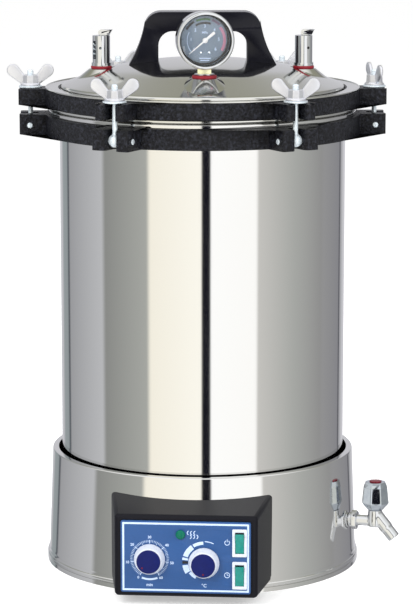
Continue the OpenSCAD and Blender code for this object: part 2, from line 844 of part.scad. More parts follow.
module gauge_stem() {
    case_low = gauge_rise - gauge_r;
    color("goldenrod") at(lid_turn, fitting_r, seat_z) {
        translate([0, 0, -seat_deep]) cylinder(r = fitting_bore_r, h = case_low + seat_deep + 2 * gauge_wall);
        translate([0, 0, red_washer_t]) {
            cylinder(r = stem_nut_r, h = stem_nut_h, $fn = 6);
            cylinder(r = stem_hex_r, h = case_low - red_washer_t - gap, $fn = 6);
        }
    }
}

module gauge_dial() {
    color("lightsteelblue") at_gauge() difference() {
        translate([0, dial_deep + dial_t, 0]) outward(gauge_r - gauge_wall, dial_t);
        translate([0, dial_deep + 2 * dial_t, 0]) outward(pointer_w, 3 * dial_t);
    }
}

module gauge_glass() {
    color("white", 0.3) at_gauge() translate([0, gauge_wall + glass_t, 0])
        outward(gauge_r - gauge_wall, glass_t);
}

module gauge_pointer() {
    color("white") at_gauge() translate([0, dial_deep - gap, 0]) {
        outward(pointer_hub_r, 2 * pointer_t);
        rotate([0, -pointer_rest, 0]) rotate([90, 0, 0]) linear_extrude(pointer_t)
            polygon([[-pointer_w, -pointer_tail], [pointer_w, -pointer_tail],
                     [pointer_w / 4, pointer_l], [-pointer_w / 4, pointer_l]]);
    }
}

/* Valves */

module valve_shell() {
    foot = red_washer_t + seat_deep;
    difference() {
        union() {
            translate([0, 0, -foot]) cylinder(r = fitting_bore_r, h = foot + over);
            cylinder(r = collar_r, h = collar_h);
            cylinder(r = valve_d / 2, h = valve_h);
            cylinder(r = post_r, h = valve_h + lever_pin_rise + post_over_pin);
        }
        translate([0, 0, valve_floor]) cylinder(r = valve_bore_r, h = valve_h - valve_floor - valve_cap_t);
        translate([0, 0, -foot - over]) cylinder(r = hose_bore_r, h = foot + valve_floor + 2 * over);
        translate([0, 0, valve_h + lever_pin_rise]) rotate([0, 0, 90 - lid_turn])
            along(lever_pin_r + fit, 2 * post_r + over);
    }
}

module safety_valve_body() {
    color("silver") at(lid_turn - 90, fitting_r, valve_z) difference() {
        valve_shell();
        for (turn = [window_turn, window_turn + 180]) rotate([0, 0, turn])
            translate([-window_w / 2, 0, valve_floor + over]) cube([window_w, valve_d, window_h]);
        translate([0, 0, valve_h - vent_drop]) rotate([0, 0, 90 - lid_turn]) outward(vent_hole_r, valve_d);
    }
}

module release_valve_body() {
    color("silver") at(lid_turn + 90, fitting_r, valve_z) difference() {
        valve_shell();
        translate([0, 0, valve_h - vent_drop]) rotate([0, 0, vent_turn - 90 - lid_turn])
            outward(vent_hole_r, valve_d);
    }
}

// A lift lever: two cheeks and a web between them, on a cross pin in the valve's post
module valve_lever() {
    far = lever_l + lever_slant;
    cheek = concat(arc([0, 0], cheek_r, 90, 270), [[lever_l, -cheek_r], [far, cheek_r]]);
    translate([0, 0, valve_h + lever_pin_rise]) {
        for (side = [0, 1]) translate([0, (side - 0.5) * lever_w + (1 - side) * cheek_t, 0])
            rotate([90, 0, 0]) linear_extrude(cheek_t) polygon(cheek);
        translate([cheek_r, cheek_t / 2 - lever_w / 2, cheek_r - cheek_t])
            cube([far - cheek_r - cheek_t, lever_w - cheek_t, cheek_t]);
        along(lever_pin_r, lever_w + 2 * lever_pin_over);
    }
}

module safety_valve_lever() {
    color("silver") at(lid_turn - 90, fitting_r, valve_z) rotate([0, 0, 90 - lid_turn]) valve_lever();
}

module release_valve_lever() {
    color("silver") at(lid_turn + 90, fitting_r, valve_z) rotate([0, 0, -90 - lid_turn]) valve_lever();
}

// Centre line of the spring: a helix whose ends stand square on their seats
spring_tail = 2 * spring_wire_r;
spring_room = valve_h - valve_cap_t - valve_floor - 2 * gap;
spring_pitch = (spring_room - 2 * spring_tail) / spring_turns;
spring_line = concat(
    [[spring_r, 0, 0]],
    [for (i = [0:spring_turns * spring_rings]) let (a = 360 * i / spring_rings)
        [spring_r * cos(a), spring_r * sin(a), spring_tail + spring_pitch * i / spring_rings]],
    [[spring_r, 0, spring_room]]);
spring_clear = min([for (i = [1:len(spring_line) - 2], j = [i + spring_rings / 2:len(spring_line) - 2])
    if (j > i) norm(spring_line[i] - spring_line[j])]) - 2 * spring_wire_r;

module safety_valve_spring() {
    last = len(spring_line) - 1;
    points = [for (i = [0:last])
        let (out = unit([spring_line[i][0], spring_line[i][1], 0]))
        let (way = unit(spring_line[min(i + 1, last)] - spring_line[max(i - 1, 0)]))
        let (n = unit(out - (out * way) * way), b = cross(way, n))
        for (k = [0:spring_sides - 1])
            let (a = 360 * k / spring_sides) spring_line[i] + spring_wire_r * (cos(a) * n + sin(a) * b)];
    sides = [for (i = [0:last - 1], k = [0:spring_sides - 1])
        let (p = i * spring_sides + k, q = i * spring_sides + (k + 1) % spring_sides)
        each [[p, p + spring_sides, q], [q, p + spring_sides, q + spring_sides]]];
    top = last * spring_sides;
    ends = [for (k = [1:spring_sides - 2]) each [[0, k, k + 1], [top, top + k + 1, top + k]]];
    echo(spring_turns = spring_turns, least_gap = spring_clear);
    color("silver") at(lid_turn - 90, fitting_r, valve_z + valve_floor + gap)
        polyhedron(points, concat(sides, ends));
}

module fitting_washers() {
    color("firebrick") {
        at(lid_turn, fitting_r, seat_z) ring(gauge_washer_r, fitting_bore_r + fit, red_washer_t);
        for (side = [-90, 90]) at(lid_turn + side, fitting_r, seat_z)
            ring(valve_washer_r, fitting_bore_r + fit, red_washer_t);
    }
}

module exhaust_hose() {
    color("silver") at(lid_turn + 90, fitting_r, hose_end_z)
        ring(hose_r, hose_bore_r, seat_z - seat_deep - hose_end_z);
}

/* Control box and panel */

module box_solid(inset) {
    front = box_y - inset;
    back = front - box_side_d;
    w = box_w / 2 - inset;
    bw = box_back_w / 2 - inset;
    low = box_z + inset;
    high = box_z + box_h - inset;
    intersection() {
        linear_extrude(skirt_h) polygon([[-w, -front], [w, -front], [bw, -back], [-bw, -back]]);
        rotate([90, 0, 90]) translate([0, 0, -box_back_w]) linear_extrude(2 * box_back_w)
            polygon([[-front, low], [-back, low], [-back, high + box_top_rise], [-front, high]]);
    }
}

module control_box() {
    cut_r = [skirt_low_r + gap, skirt_top_r + gap];
    color("black") difference() {
        box_solid(0);
        difference() {
            box_solid(box_wall);
            translate([-box_w, -box_y, 0]) cube([2 * box_w, box_wall, skirt_h]);
        }
        translate([0, 0, flare_h]) cylinder(r1 = cut_r[0], r2 = cut_r[1], h = skirt_h - flare_h);
        cylinder(r = foot_r + gap, h = flare_h + fit);
        translate([0, over - box_y + box_wall, panel_z])
            panel_plate(panel_w - 2 * panel_window_margin, panel_h - 2 * panel_window_margin,
                panel_corner_r, box_wall + 2 * over);
    }
}

// Places its children on the panel's front, x to the right and z up from its centre
module on_panel(x = 0, z = 0, y = 0) {
    translate([x, y - panel_y, panel_z + z]) children();
}

module control_panel() {
    color("royalblue") difference() {
        on_panel(y = panel_t) panel_plate(panel_w, panel_h, panel_corner_r, panel_t);
        on_panel(timer_x, timer_dz, 2 * panel_t) outward(bush_r + fit, 3 * panel_t);
        on_panel(thermo_x, thermo_dz, 2 * panel_t) outward(bush_r + fit, 3 * panel_t);
        on_panel(lamp_x, lamp_dz, 2 * panel_t) outward(lamp_stem_r + fit, 3 * panel_t);
        for (dz = rocker_dzs) on_panel(rocker_x, dz, 2 * panel_t)
            panel_plate(switch_w + 2 * fit, switch_h + 2 * fit, fit, 3 * panel_t);
    }
}

module knob() {
    r = knob_d / 2;
    difference() {
        translate([0, -gap, 0]) rotate([90, 0, 0]) rotate_extrude() polygon([
            [0, 0], [r, 0], [r, knob_edge_r], [r - knob_edge_r, knob_skirt_t],
            [knob_grip_r + knob_edge_r, knob_skirt_t + knob_edge_r],
            [knob_grip_r, knob_depth - knob_edge_r], [knob_grip_r - knob_edge_r, knob_depth],
            [0, knob_depth]]);
        outward(knob_recess_r, gap + knob_recess_h);
    }
    translate([0, spindle_l, 0]) outward(spindle_r, spindle_l + 2 * knob_recess_h);
}

module timer_knob() {
    color("navy") on_panel(timer_x, timer_dz) knob();
}

module thermostat_knob() {
    color("navy") on_panel(thermo_x, thermo_dz) knob();
}

// A timer or thermostat body with its threaded bush through the panel
module dial_unit() {
    difference() {
        union() {
            translate([0, panel_t + unit_d, 0]) panel_plate(unit_w, unit_w, unit_corner_r, unit_d);
            translate([0, panel_t + over, 0]) outward(bush_r, panel_t + over + bush_out);
        }
        translate([0, spindle_l + over, 0]) outward(spindle_r + fit, spindle_l + 2 * over + bush_out);
    }
}

module timer_unit() {
    color("lightyellow") on_panel(timer_x, timer_dz) dial_unit();
}

module thermostat_unit() {
    color("gray") on_panel(thermo_x, thermo_dz) dial_unit();
}

module rocker(tilt) {
    nose = rocker_nose;
    half = rocker_h / 2;
    back_half = half * rocker_back_share;
    profile = [[-rocker_back, -back_half], [-rocker_back, back_half], [nose, half],
               [nose - rocker_swell, 0], [nose, -half]];
    translate([0, rocker_pivot_deep - bezel_sw_t, 0]) rotate([tilt, 0, 0]) {
        rotate([90, 0, -90]) translate([0, 0, -rocker_w / 2]) linear_extrude(rocker_w) polygon(profile);
        across(rocker_pin_r, rocker_w + 2 * rocker_pin_l);
    }
}

module power_rocker() {
    color("seagreen") on_panel(rocker_x, rocker_dzs[0]) rocker(rocker_tilts[0]);
}

module timer_rocker() {
    color("seagreen") on_panel(rocker_x, rocker_dzs[1]) rocker(rocker_tilts[1]);
}

module switch_housings() {
    color("white") for (dz = rocker_dzs) on_panel(rocker_x, dz) difference() {
        union() {
            panel_plate(bezel_sw_w, bezel_sw_h, over, bezel_sw_t);
            translate([0, switch_d, 0]) panel_plate(switch_w, switch_h, fit, switch_d);
        }
        translate([0, 2 * rocker_back + rocker_nose, 0]) panel_plate(rocker_w + 2 * gap,
            rocker_h + 5 * gap, fit, 2 * rocker_back + rocker_nose + 2 * bezel_sw_t);
        translate([0, rocker_pivot_deep - bezel_sw_t, 0])
            across(rocker_pin_r + fit, rocker_w + 2 * rocker_pin_l + 2 * fit);
    }
}

module indicator_lamp() {
    rim = lamp_h / 3;
    color("green") on_panel(lamp_x, lamp_dz) {
        rotate([90, 0, 0]) rotate_extrude() polygon(concat(
            [[0, 0], [lamp_r, 0], [lamp_r, rim]],
            [for (i = [1:arc_steps]) let (a = 90 * i / arc_steps)
                [lamp_r * cos(a), rim + (lamp_h - rim) * sin(a)]]));
        translate([0, lamp_l, 0]) outward(lamp_stem_r, lamp_l);
    }
}

/* Cable gland and drain tap */

module cable_gland() {
    color("dimgray") at(gland_turn, skirt_r_at(gland_z) + gap, gland_z) difference() {
        union() {
            translate([0, gland_inside_l, 0]) outward(gland_body_r, gland_inside_l + gland_body_l);
            rotate([90, 0, 0]) cylinder(r = gland_hex_r, h = gland_hex_t, $fn = 6);
        }
        translate([0, gland_inside_l + over, 0])
            outward(gland_bore_r, gland_inside_l + gland_body_l + 2 * over);
    }
}

// Places its children on the spout's axis, which runs down and outwards along +Z
module at_spout() {
    at(tap_turn, tap_r, spout_z) rotate([90 + spout_drop, 0, 0]) children();
}

module tap_body() {
    tail = tap_reach + tap_inside_l + bonnet_low;
    color("silver") difference() {
        union() {
            at(tap_turn, tap_skirt_r - tap_inside_l, tap_z) outward(barrel_r, tail);
            at(tap_turn, tap_skirt_r + gap, tap_z) outward(tap_collar_r, tap_collar_t);
            at(tap_turn, tap_skirt_r + gap + tap_collar_t, tap_z) rotate([90, 0, 0])
                cylinder(r = tap_nut_r, h = tap_nut_t, $fn = 6);
            at(tap_turn, tap_r, tap_z - bonnet_low)
                cylinder(r1 = bonnet_r, r2 = bonnet_top_r, h = bonnet_z - tap_z + bonnet_low);
            at_spout() cylinder(r = spout_d / 2 + spout_step, h = spout_l - spout_tail_l);
            at_spout() cylinder(r = spout_d / 2, h = spout_l);
        }
        at(tap_turn, tap_skirt_r - tap_inside_l - over, tap_z) outward(barrel_bore_r, tail);
        at(tap_turn, tap_r, tap_z) cylinder(r = tap_spindle_r + fit, h = bonnet_z);
        at_spout() cylinder(r = spout_d / 2 - spout_wall, h = spout_l + over);
    }
}

module tap_handle() {
    r = tap_handle_d / 2;
    belly = tap_handle_h * tap_handle_belly_share;
    color("silver") at(tap_turn, tap_r, tap_handle_z) {
        cylinder(r1 = r * tap_handle_low_share, r2 = r, h = belly, $fn = 6);
        translate([0, 0, belly])
            cylinder(r1 = r, r2 = r * tap_handle_top_share, h = tap_handle_h - belly, $fn = 6);
        translate([0, 0, tap_z - tap_handle_z + barrel_r])
            cylinder(r = tap_spindle_r, h = tap_handle_z - tap_z);
    }
}

module tap_cap() {
    color("crimson") at(tap_turn, tap_r, tap_handle_z + tap_handle_h)
        cylinder(r = tap_cap_r, h = tap_cap_t);
}

base_skirt();
base_plate();
base_screws();
vessel();
heater_element();
drain_pipe();
support_rack();
basket();
basket_bail();
lower_clamp_ring();
clamp_pins();
for (i = [0:clamp_count - 1]) {
    eye_bolt(clamp_turns[i]);
    clamp_washer(clamp_turns[i]);
    wing_nut(clamp_turns[i], wing_turns[i]);
}
lid_dome();
upper_clamp_ring();
lid_gasket();
lid_handle();
handle_screws();
gauge_case();
gauge_stem();
gauge_dial();
gauge_glass();
gauge_pointer();
safety_valve_body();
safety_valve_lever();
safety_valve_spring();
release_valve_body();
release_valve_lever();
fitting_washers();
exhaust_hose();
control_box();
control_panel();
timer_knob();
timer_unit();
thermostat_knob();
thermostat_unit();
power_rocker();
timer_rocker();
switch_housings();
indicator_lamp();
cable_gland();
tap_body();
tap_handle();
tap_cap();
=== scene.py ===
# Portable autoclave: the finishes and the finely shaped pieces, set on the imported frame.
# Lengths in the dictionaries are millimetres, turns are degrees about +Z from -Y.
import json
import math

import bpy
from mathutils import Matrix, Vector


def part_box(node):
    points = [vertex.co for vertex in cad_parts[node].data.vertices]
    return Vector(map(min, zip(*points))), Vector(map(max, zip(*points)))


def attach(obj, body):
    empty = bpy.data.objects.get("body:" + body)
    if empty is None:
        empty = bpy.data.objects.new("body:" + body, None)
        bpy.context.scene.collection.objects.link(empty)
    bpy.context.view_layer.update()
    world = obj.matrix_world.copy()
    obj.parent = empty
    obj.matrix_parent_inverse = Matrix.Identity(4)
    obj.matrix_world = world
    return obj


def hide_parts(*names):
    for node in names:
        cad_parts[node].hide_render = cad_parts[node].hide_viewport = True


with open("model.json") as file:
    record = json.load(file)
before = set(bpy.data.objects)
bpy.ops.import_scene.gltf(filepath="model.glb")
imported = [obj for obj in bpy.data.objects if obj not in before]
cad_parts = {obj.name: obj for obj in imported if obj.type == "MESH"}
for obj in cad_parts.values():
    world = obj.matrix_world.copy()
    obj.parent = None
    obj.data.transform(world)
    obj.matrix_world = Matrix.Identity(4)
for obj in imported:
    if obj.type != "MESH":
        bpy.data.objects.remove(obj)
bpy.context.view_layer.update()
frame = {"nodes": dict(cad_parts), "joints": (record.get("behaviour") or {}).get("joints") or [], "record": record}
nodeBody = {n: b for b, ns in frame["record"]["behaviour"]["bodies"].items() for n in ns}
jointOf = {j["name"]: j for j in frame["joints"]}
unit = 0.001  # one millimetre


# Colours and nodes

def fromHex(text):
    # Linear colour of an sRGB hex value.
    parts = [int(text[i:i + 2], 16) / 255 for i in (0, 2, 4)]
    return [p / 12.92 if p <= 0.04045 else ((p + 0.055) / 1.055) ** 2.4 for p in parts] + [1]


def lit(level, tint):
    # Linear colour of a tint at a brightness that may pass 1.
    return [c * level for c in fromHex(tint)[:3]] + [1]


def feed(tree, node, inputs):
    # A socket is linked to the input, anything else is its value. A colour Mix has its own inputs
    # at 6 and 7 and its colour at output 2.
    for name, value in inputs.items():
        if isinstance(value, bpy.types.NodeSocket):
            tree.links.new(value, node.inputs[name])
        else:
            node.inputs[name].default_value = value


def addNode(tree, kind, inputs=None, **settings):
    made = tree.nodes.new("ShaderNode" + kind)
    for name, value in settings.items():
        setattr(made, name, value)
    feed(tree, made, inputs or {})
    return made


def newMaterial(name, colour, **sockets):
    made = bpy.data.materials.new(name)
    made.use_nodes = True
    shader = made.node_tree.nodes["Principled BSDF"]
    feed(made.node_tree, shader, {"Base Color": fromHex(colour)})
    feed(made.node_tree, shader, {socket.replace("_", " "): value for socket, value in sockets.items()})
    return made, made.node_tree, shader


def objectPlace(tree, scale=(1, 1, 1)):
    place = addNode(tree, "TexCoord").outputs["Object"]
    return addNode(tree, "Mapping", {"Vector": place, "Scale": scale}).outputs["Vector"]


def perMm(spacing):
    # Noise scale for a grain of that many millimetres
    return 1 / (spacing * unit)


# Finishes

def mirrorSteel():
    # 304 stainless sheet, buffed to a mirror: soft pull and faint lengthwise polishing marks
    made, tree, shader = newMaterial("polished stainless steel", "E6E6E5", Metallic=1.0)
    pull = addNode(tree, "TexNoise", {"Vector": objectPlace(tree, (1, 1, 0.25)), "Scale": perMm(90), "Detail": 1.0})
    marks = addNode(tree, "TexNoise", {"Vector": objectPlace(tree, (1, 1, 0.02)), "Scale": perMm(1.2), "Detail": 3.0})
    gloss = addNode(tree, "MapRange", {"Value": marks.outputs["Fac"], "To Min": 0.035, "To Max": 0.085})
    waves = addNode(tree, "Bump", {"Height": pull.outputs["Fac"], "Distance": 0.5 * unit, "Strength": 0.12})
    feed(tree, shader, {"Roughness": gloss.outputs["Result"], "Normal": waves.outputs["Normal"]})
    return made


def castPaint():
    # Sand-cast aluminium under black wrinkle paint: a coarse grain, whose crests are painted lighter as painted
    # glints that stand in for its sparkle
    made, tree, shader = newMaterial("black wrinkle paint", "131317", IOR=1.5, Specular_IOR_Level=0.3)
    place = objectPlace(tree)
    grain = addNode(tree, "TexNoise", {"Vector": place, "Scale": perMm(2.6), "Detail": 4.0,
                                       "Roughness": 0.7}).outputs["Fac"]
    lumps = addNode(tree, "TexNoise", {"Vector": place, "Scale": perMm(9), "Detail": 1.0}).outputs["Fac"]
    both = addNode(tree, "Math", {0: grain, 1: lumps}, operation="ADD")
    # Painted glints: the grain's crests are mixed from near black to grey, standing in for sparkle
    paintedGlints = addNode(tree, "MapRange", {"Value": grain, "From Min": 0.48, "From Max": 0.74}).outputs["Result"]
    tone = addNode(tree, "Mix", {"Factor": paintedGlints, 6: fromHex("09090E"), 7: fromHex("33353F")}, data_type="RGBA")
    gloss = addNode(tree, "MapRange", {"Value": grain, "To Min": 0.16, "To Max": 0.44})
    skin = addNode(tree, "Bump", {"Height": both.outputs["Value"], "Distance": 1.8 * unit, "Strength": 0.9})
    feed(tree, shader, {"Base Color": tone.outputs[2], "Roughness": gloss.outputs["Result"],
                        "Normal": skin.outputs["Normal"]})
    return made


def grained(name, tones, spacing, gloss, bump=None, detail=2.0, stretch=(1, 1, 1), **sockets):
    # One noise of a real spacing in millimetres mixes the tones, takes the roughness between its two
    # values and lifts the skin by a bump's depth in millimetres, at its strength
    made, tree, shader = newMaterial(name, tones[-1], **sockets)
    grain = addNode(tree, "TexNoise", {"Vector": objectPlace(tree, stretch), "Scale": perMm(spacing),
                                       "Detail": detail}).outputs["Fac"]
    rough = addNode(tree, "MapRange", {"Value": grain, "To Min": gloss[0], "To Max": gloss[1]})
    feed(tree, shader, {"Roughness": rough.outputs["Result"]})
    if len(tones) > 1:
        dark, light = map(fromHex, tones)
        tone = addNode(tree, "Mix", {"Factor": grain, 6: dark, 7: light}, data_type="RGBA")
        feed(tree, shader, {"Base Color": tone.outputs[2]})
    if bump:
        skin = addNode(tree, "Bump", {"Height": grain, "Distance": bump[0] * unit, "Strength": bump[1]})
        feed(tree, shader, {"Normal": skin.outputs["Normal"]})
    return made


def plastic(name, dark, light, roughness, spacing=2.0, depth=0.02, **sockets):
    # A moulding or an ink: its colour drifts a little and its skin has a fine grain.
    return grained(name, (dark, light), spacing, (roughness * 0.8, roughness * 1.25), (depth, 0.5), **sockets)


finishes = {
    "mirror": mirrorSteel(),
    # The lid's dome, polished on the lathe, so its marks run round
    "spun": grained("spun stainless steel", ["DCDCD8"], 1.0, (0.06, 0.12), stretch=(0.02, 0.02, 1), Metallic=1.0),
    # Plain mill-finish stainless sheet and wire: even fine brushing
    "sheet": grained("brushed stainless steel", ["B9BABB"], 0.6, (0.22, 0.40), (0.02, 0.5), 4.0, (1, 1, 0.05),
                     Metallic=1.0),
    "cast": castPaint(),
    # Bright zinc with a clear blue passivation, on bolts, pins and washers
    "zinc": grained("blue bright zinc", ["D6E5EF", "F6FBFE"], 5, (0.14, 0.30), detail=3.0, Metallic=0.55),
    # Die-cast zinc wing nuts, tumbled bright: pale, with a fine dimpled skin
    "casting": grained("die-cast zinc", ["E4E5EB"], 1.4, (0.24, 0.40), (0.12, 0.5), Metallic=0.85),
    # Chrome on polished brass: nearly clear reflections, a trace of orange peel
    "chrome": grained("chrome plate", ["DADCDF"], 3, (0.03, 0.08), (0.03, 0.3), 1.0, Metallic=1.0),
    # Chrome on the tap's moulded wheel: darker and a little clouded
    "wheelChrome": grained("clouded chrome plate", ["B2BBC6", "CDD4DB"], 6, (0.04, 0.09), Metallic=1.0),
    # Compression-moulded phenolic: deep black with a polished skin and faint flow
    "bakelite": grained("black phenolic moulding", ["090910", "15151E"], 24, (0.12, 0.22), (0.4, 0.12), 3.0,
                        (1, 1, 2), IOR=1.6, Specular_IOR_Level=0.2),
    # Folded steel box under satin black powder coat: a fine orange peel
    "box": grained("black powder coat", ["0D0D12", "18181F"], 1.1, (0.30, 0.46), (0.06, 0.6), IOR=1.5,
                   Specular_IOR_Level=0.15),
    # Bar brass, turned and left bare: fine rings from the tool
    "brass": grained("turned brass", ["FFFFD0"], 0.5, (0.18, 0.30), (0.02, 0.4), 1.0, (0.05, 0.05, 1),
                     Metallic=0.65),
    # The gauge's window: flat clear glass
    "glass": newMaterial("clear glass", "FFFFFF", Roughness=0.0, IOR=1.45, Specular_IOR_Level=0.15,
                         Transmission_Weight=1.0)[0],
    # Silicone rubber: matt skin, dark red and natural white
    "redRubber": plastic("red silicone rubber", "760F1C", "921829", 0.42, 1.5),
    "whiteRubber": plastic("white silicone rubber", "D8D5CB", "E8E5DC", 0.50, 1.5),
    # Printed aluminium dial under the glass
    "dial": plastic("grey blue dial lacquer", "6D7F92", "7D8EA0", 0.45, 6.0),
    # Polycarbonate overlay, blue from behind, with a fine velvet grain
    "overlay": plastic("blue polycarbonate film", "214A80", "27538D", 0.34, 0.7, 0.015),
    # Screen inks and lacquers: thin, even and half matt
    "print": plastic("white screen ink", "BFD4F2", "D2E2F8", 0.45, 1.0),
    "blackInk": plastic("black screen ink", "101014", "18181C", 0.40, 1.0),
    "redInk": plastic("red screen ink", "B4708E", "CC8CA6", 0.45, 1.0),
    "mauveInk": plastic("mauve screen ink", "5B4A66", "75627F", 0.45, 1.0),
    "greenInk": plastic("green screen ink", "2E5B2E", "3F7A3C", 0.45, 1.0),
    "whitePaint": plastic("white enamel", "F0F0F0", "FAFAFA", 0.35, 1.0),
    # The gauge's black retaining ring; set off centre, its crescent is painted shade under the bezel
    "ringAndPaintedShade": plastic("matt black lacquer and painted shade", "05080B", "0A0E12", 0.6, 1.5, Specular_IOR_Level=0.1),
    # ABS, nylon and polycarbonate mouldings of the knobs, switches and lamp
    "whiteAbs": plastic("white ABS moulding", "CCD1DC", "D8DDE8", 0.28, 3.0),
    "navyAbs": plastic("navy ABS moulding", "0A1450", "0E1A5E", 0.30, 3.0, Specular_IOR_Level=0.2),
    "buttonRed": plastic("dark red ABS moulding", "5A0E1C", "741528", 0.28, 3.0, Specular_IOR_Level=0.3),
    "greyAbs": plastic("grey ABS moulding", "58585B", "68686B", 0.50, 1.5),
    "blackAbs": plastic("black nylon moulding", "141415", "202022", 0.45, 1.5),
    "greenRocker": plastic("green polycarbonate rocker", "0D7568", "17948A", 0.16, 4.0),
    "greenLens": plastic("green lamp lens", "025A48", "036E57", 0.14, 3.0, Specular_IOR_Level=0.25),
}
print("finishes made:", len(finishes))


# Shaping

def shift(x=0.0, y=0.0, z=0.0):
    return Matrix.Translation((x * unit, y * unit, z * unit))


def about(degrees, axis="Z"):
    return Matrix.Rotation(math.radians(degrees), 4, axis)


facing = about(90, "X")  # turns a piece's +Z to -Y, its face to the front


def atTurn(turn, radius=0.0, height=0.0):
    # A place at a turn about the vessel, at a radius and a height; its -Y points outwards.
    return about(turn) @ shift(0, -radius, height)


def turnOf(x, y):
    return math.degrees(math.atan2(x, -y))


def arc(x, z, radius, degrees, lean=0.0, tall=None):
    # Points of an arc about (x, z), from the x axis towards the z axis. Tall is its other half axis.
    turns = [lean + math.radians(a) for a in degrees]
    return [(x + radius * math.cos(a), z + (tall or radius) * math.sin(a)) for a in turns]


def atClock(radius, turn):
    # A point at a turn that runs clockwise from straight up.
    return radius * math.sin(math.radians(turn)), radius * math.cos(math.radians(turn))


def clockArc(radius, start, end, steps):
    return [atClock(radius, start + (end - start) * i / steps) for i in range(steps + 1)]


def rounded(points, radii, steps=5):
    # An outline whose corners are rounded to the given radii. An open one has 0 at both ends.
    made = []
    for i, (point, radius) in enumerate(zip(points, radii)):
        if not radius:
            made.append(point)
            continue
        corner = Vector(point)
        before = (Vector(points[i - 1]) - corner).normalized()
        after = (Vector(points[(i + 1) % len(points)]) - corner).normalized()
        half = before.angle(after) / 2
        centre = corner + (before + after).normalized() * radius / math.sin(half)
        start = corner + before * radius / math.tan(half) - centre
        end = corner + after * radius / math.tan(half) - centre
        sweep = start.angle_signed(end)
        for step in range(steps + 1):
            spin = -sweep * step / steps
            made.append(tuple(centre + Vector((start.x * math.cos(spin) - start.y * math.sin(spin),
                                               start.x * math.sin(spin) + start.y * math.cos(spin)))))
    return made


def rectangle(width, height, radius=0.0, steps=5):
    x, y = width / 2, height / 2
    return rounded([(-x, -y), (x, -y), (x, y), (-x, y)], [radius] * 4, steps)


def pickNothing():
    if bpy.context.object and bpy.context.object.mode != "OBJECT":
        bpy.ops.object.mode_set(mode="OBJECT")
    bpy.ops.object.select_all(action="DESELECT")


def pick(piece):
    pickNothing()
    piece.select_set(True)
    bpy.context.view_layer.objects.active = piece


def editAll(piece):
    pick(piece)
    bpy.ops.object.mode_set(mode="EDIT")
    bpy.ops.mesh.select_all(action="SELECT")


def endEdit():
    bpy.ops.object.mode_set(mode="OBJECT")


def useModifier(piece, kind, **settings):
    pick(piece)
    made = piece.modifiers.new(kind.lower(), kind)
    for name, value in settings.items():
        setattr(made, name, value)
    bpy.ops.object.modifier_apply(modifier=made.name)


def softenEdges(piece, width, segments=3, angle=32):
    useModifier(piece, "BEVEL", width=width * unit, segments=segments, limit_method="ANGLE",
                angle_limit=math.radians(angle), miter_outer="MITER_ARC", use_clamp_overlap=True)


def smooth(piece, angle=35):
    pick(piece)
    bpy.ops.object.shade_smooth_by_angle(angle=math.radians(angle))


def turnedPiece(name, profile, steps=128, closed=False):
    # A piece turned on a lathe: a ring is added at the first radius, then extruded and scaled along
    # the profile of (radius, height) pairs.
    pickNothing()
    least = 0.002  # the radius that stands for 0 until its ring is merged to a point
    rings = [(max(r, least), z) for r, z in profile + (profile[:1] if closed else [])]
    bpy.ops.mesh.primitive_circle_add(vertices=steps, radius=rings[0][0] * unit, location=(0, 0, 0))
    piece = bpy.context.object
    piece.name = name
    editAll(piece)
    bpy.ops.transform.translate(value=(0, 0, rings[0][1] * unit))
    for (r, z), (nextR, nextZ) in zip(rings, rings[1:]):
        bpy.ops.mesh.extrude_edges_move(TRANSFORM_OT_translate={"value": (0, 0, (nextZ - z) * unit)})
        bpy.ops.transform.resize(value=(nextR / r, nextR / r, 1), center_override=(0, 0, 0))
    bpy.ops.mesh.select_all(action="SELECT")
    bpy.ops.mesh.remove_doubles(threshold=0.01 * unit)
    bpy.ops.mesh.normals_make_consistent(inside=False)
    endEdit()
    smooth(piece)
    return piece


def turnedBar(name, radius, low, high, edges=(0, 0), steps=64, fine=3, crown=0.0):
    # A round bar with its lower and upper rim rounded. A crown sets the upper rim under its middle.
    points = [(0, low), (radius, low), (radius, high - crown), (0, high)]
    return turnedPiece(name, rounded(points, [0, *edges, 0], fine), steps)


def turnedRing(name, inner, outer, low, high, edges, steps=64, fine=3):
    points = [(inner, low), (outer, low), (outer, high), (inner, high)]
    return turnedPiece(name, rounded(points, edges, fine), steps, closed=True)


def platePiece(name, outline, depth, edge=0.0, segments=3):
    # A plate: a filled ring whose rim is set to the outline, extruded upwards and softened.
    pickNothing()
    bpy.ops.mesh.primitive_circle_add(vertices=len(outline), radius=unit, fill_type="NGON")
    piece = bpy.context.object
    piece.name = name
    for vertex, (x, y) in zip(piece.data.vertices, outline):
        vertex.co = (x * unit, y * unit, 0)
    editAll(piece)
    bpy.ops.mesh.extrude_region_move(TRANSFORM_OT_translate={"value": (0, 0, depth * unit)})
    bpy.ops.mesh.select_all(action="SELECT")
    bpy.ops.mesh.normals_make_consistent(inside=False)
    endEdit()
    if edge:
        softenEdges(piece, edge, segments)
    smooth(piece)
    return piece


def movePiece(piece, matrix):
    piece.data.transform(matrix)
    piece.data.update()
    return piece


def copyPiece(piece, name, matrix):
    made = piece.copy()
    made.data = piece.data.copy()
    made.name = name
    bpy.context.scene.collection.objects.link(made)
    return movePiece(made, matrix)


def joinPieces(pieces, name):
    pickNothing()
    for piece in pieces:
        piece.select_set(True)
    bpy.context.view_layer.objects.active = pieces[0]
    bpy.ops.object.join()
    pieces[0].name = name
    return pieces[0]


def cutPiece(piece, cutters, operation="DIFFERENCE"):
    for cutter in cutters:
        useModifier(piece, "BOOLEAN", operation=operation, object=cutter, solver="EXACT")
        bpy.data.objects.remove(cutter)
    smooth(piece)
    return piece


def paint(piece, finish):
    piece.data.materials.clear()
    piece.data.materials.append(finishes[finish])


def addTo(node, piece, finish):
    # Gives a finished piece its material, and the body of a CAD node.
    paint(piece, finish)
    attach(piece, nodeBody[node])


def standFor(node, piece, finish):
    # The same, and the CAD node is hidden.
    addTo(node, piece, finish)
    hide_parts(node)


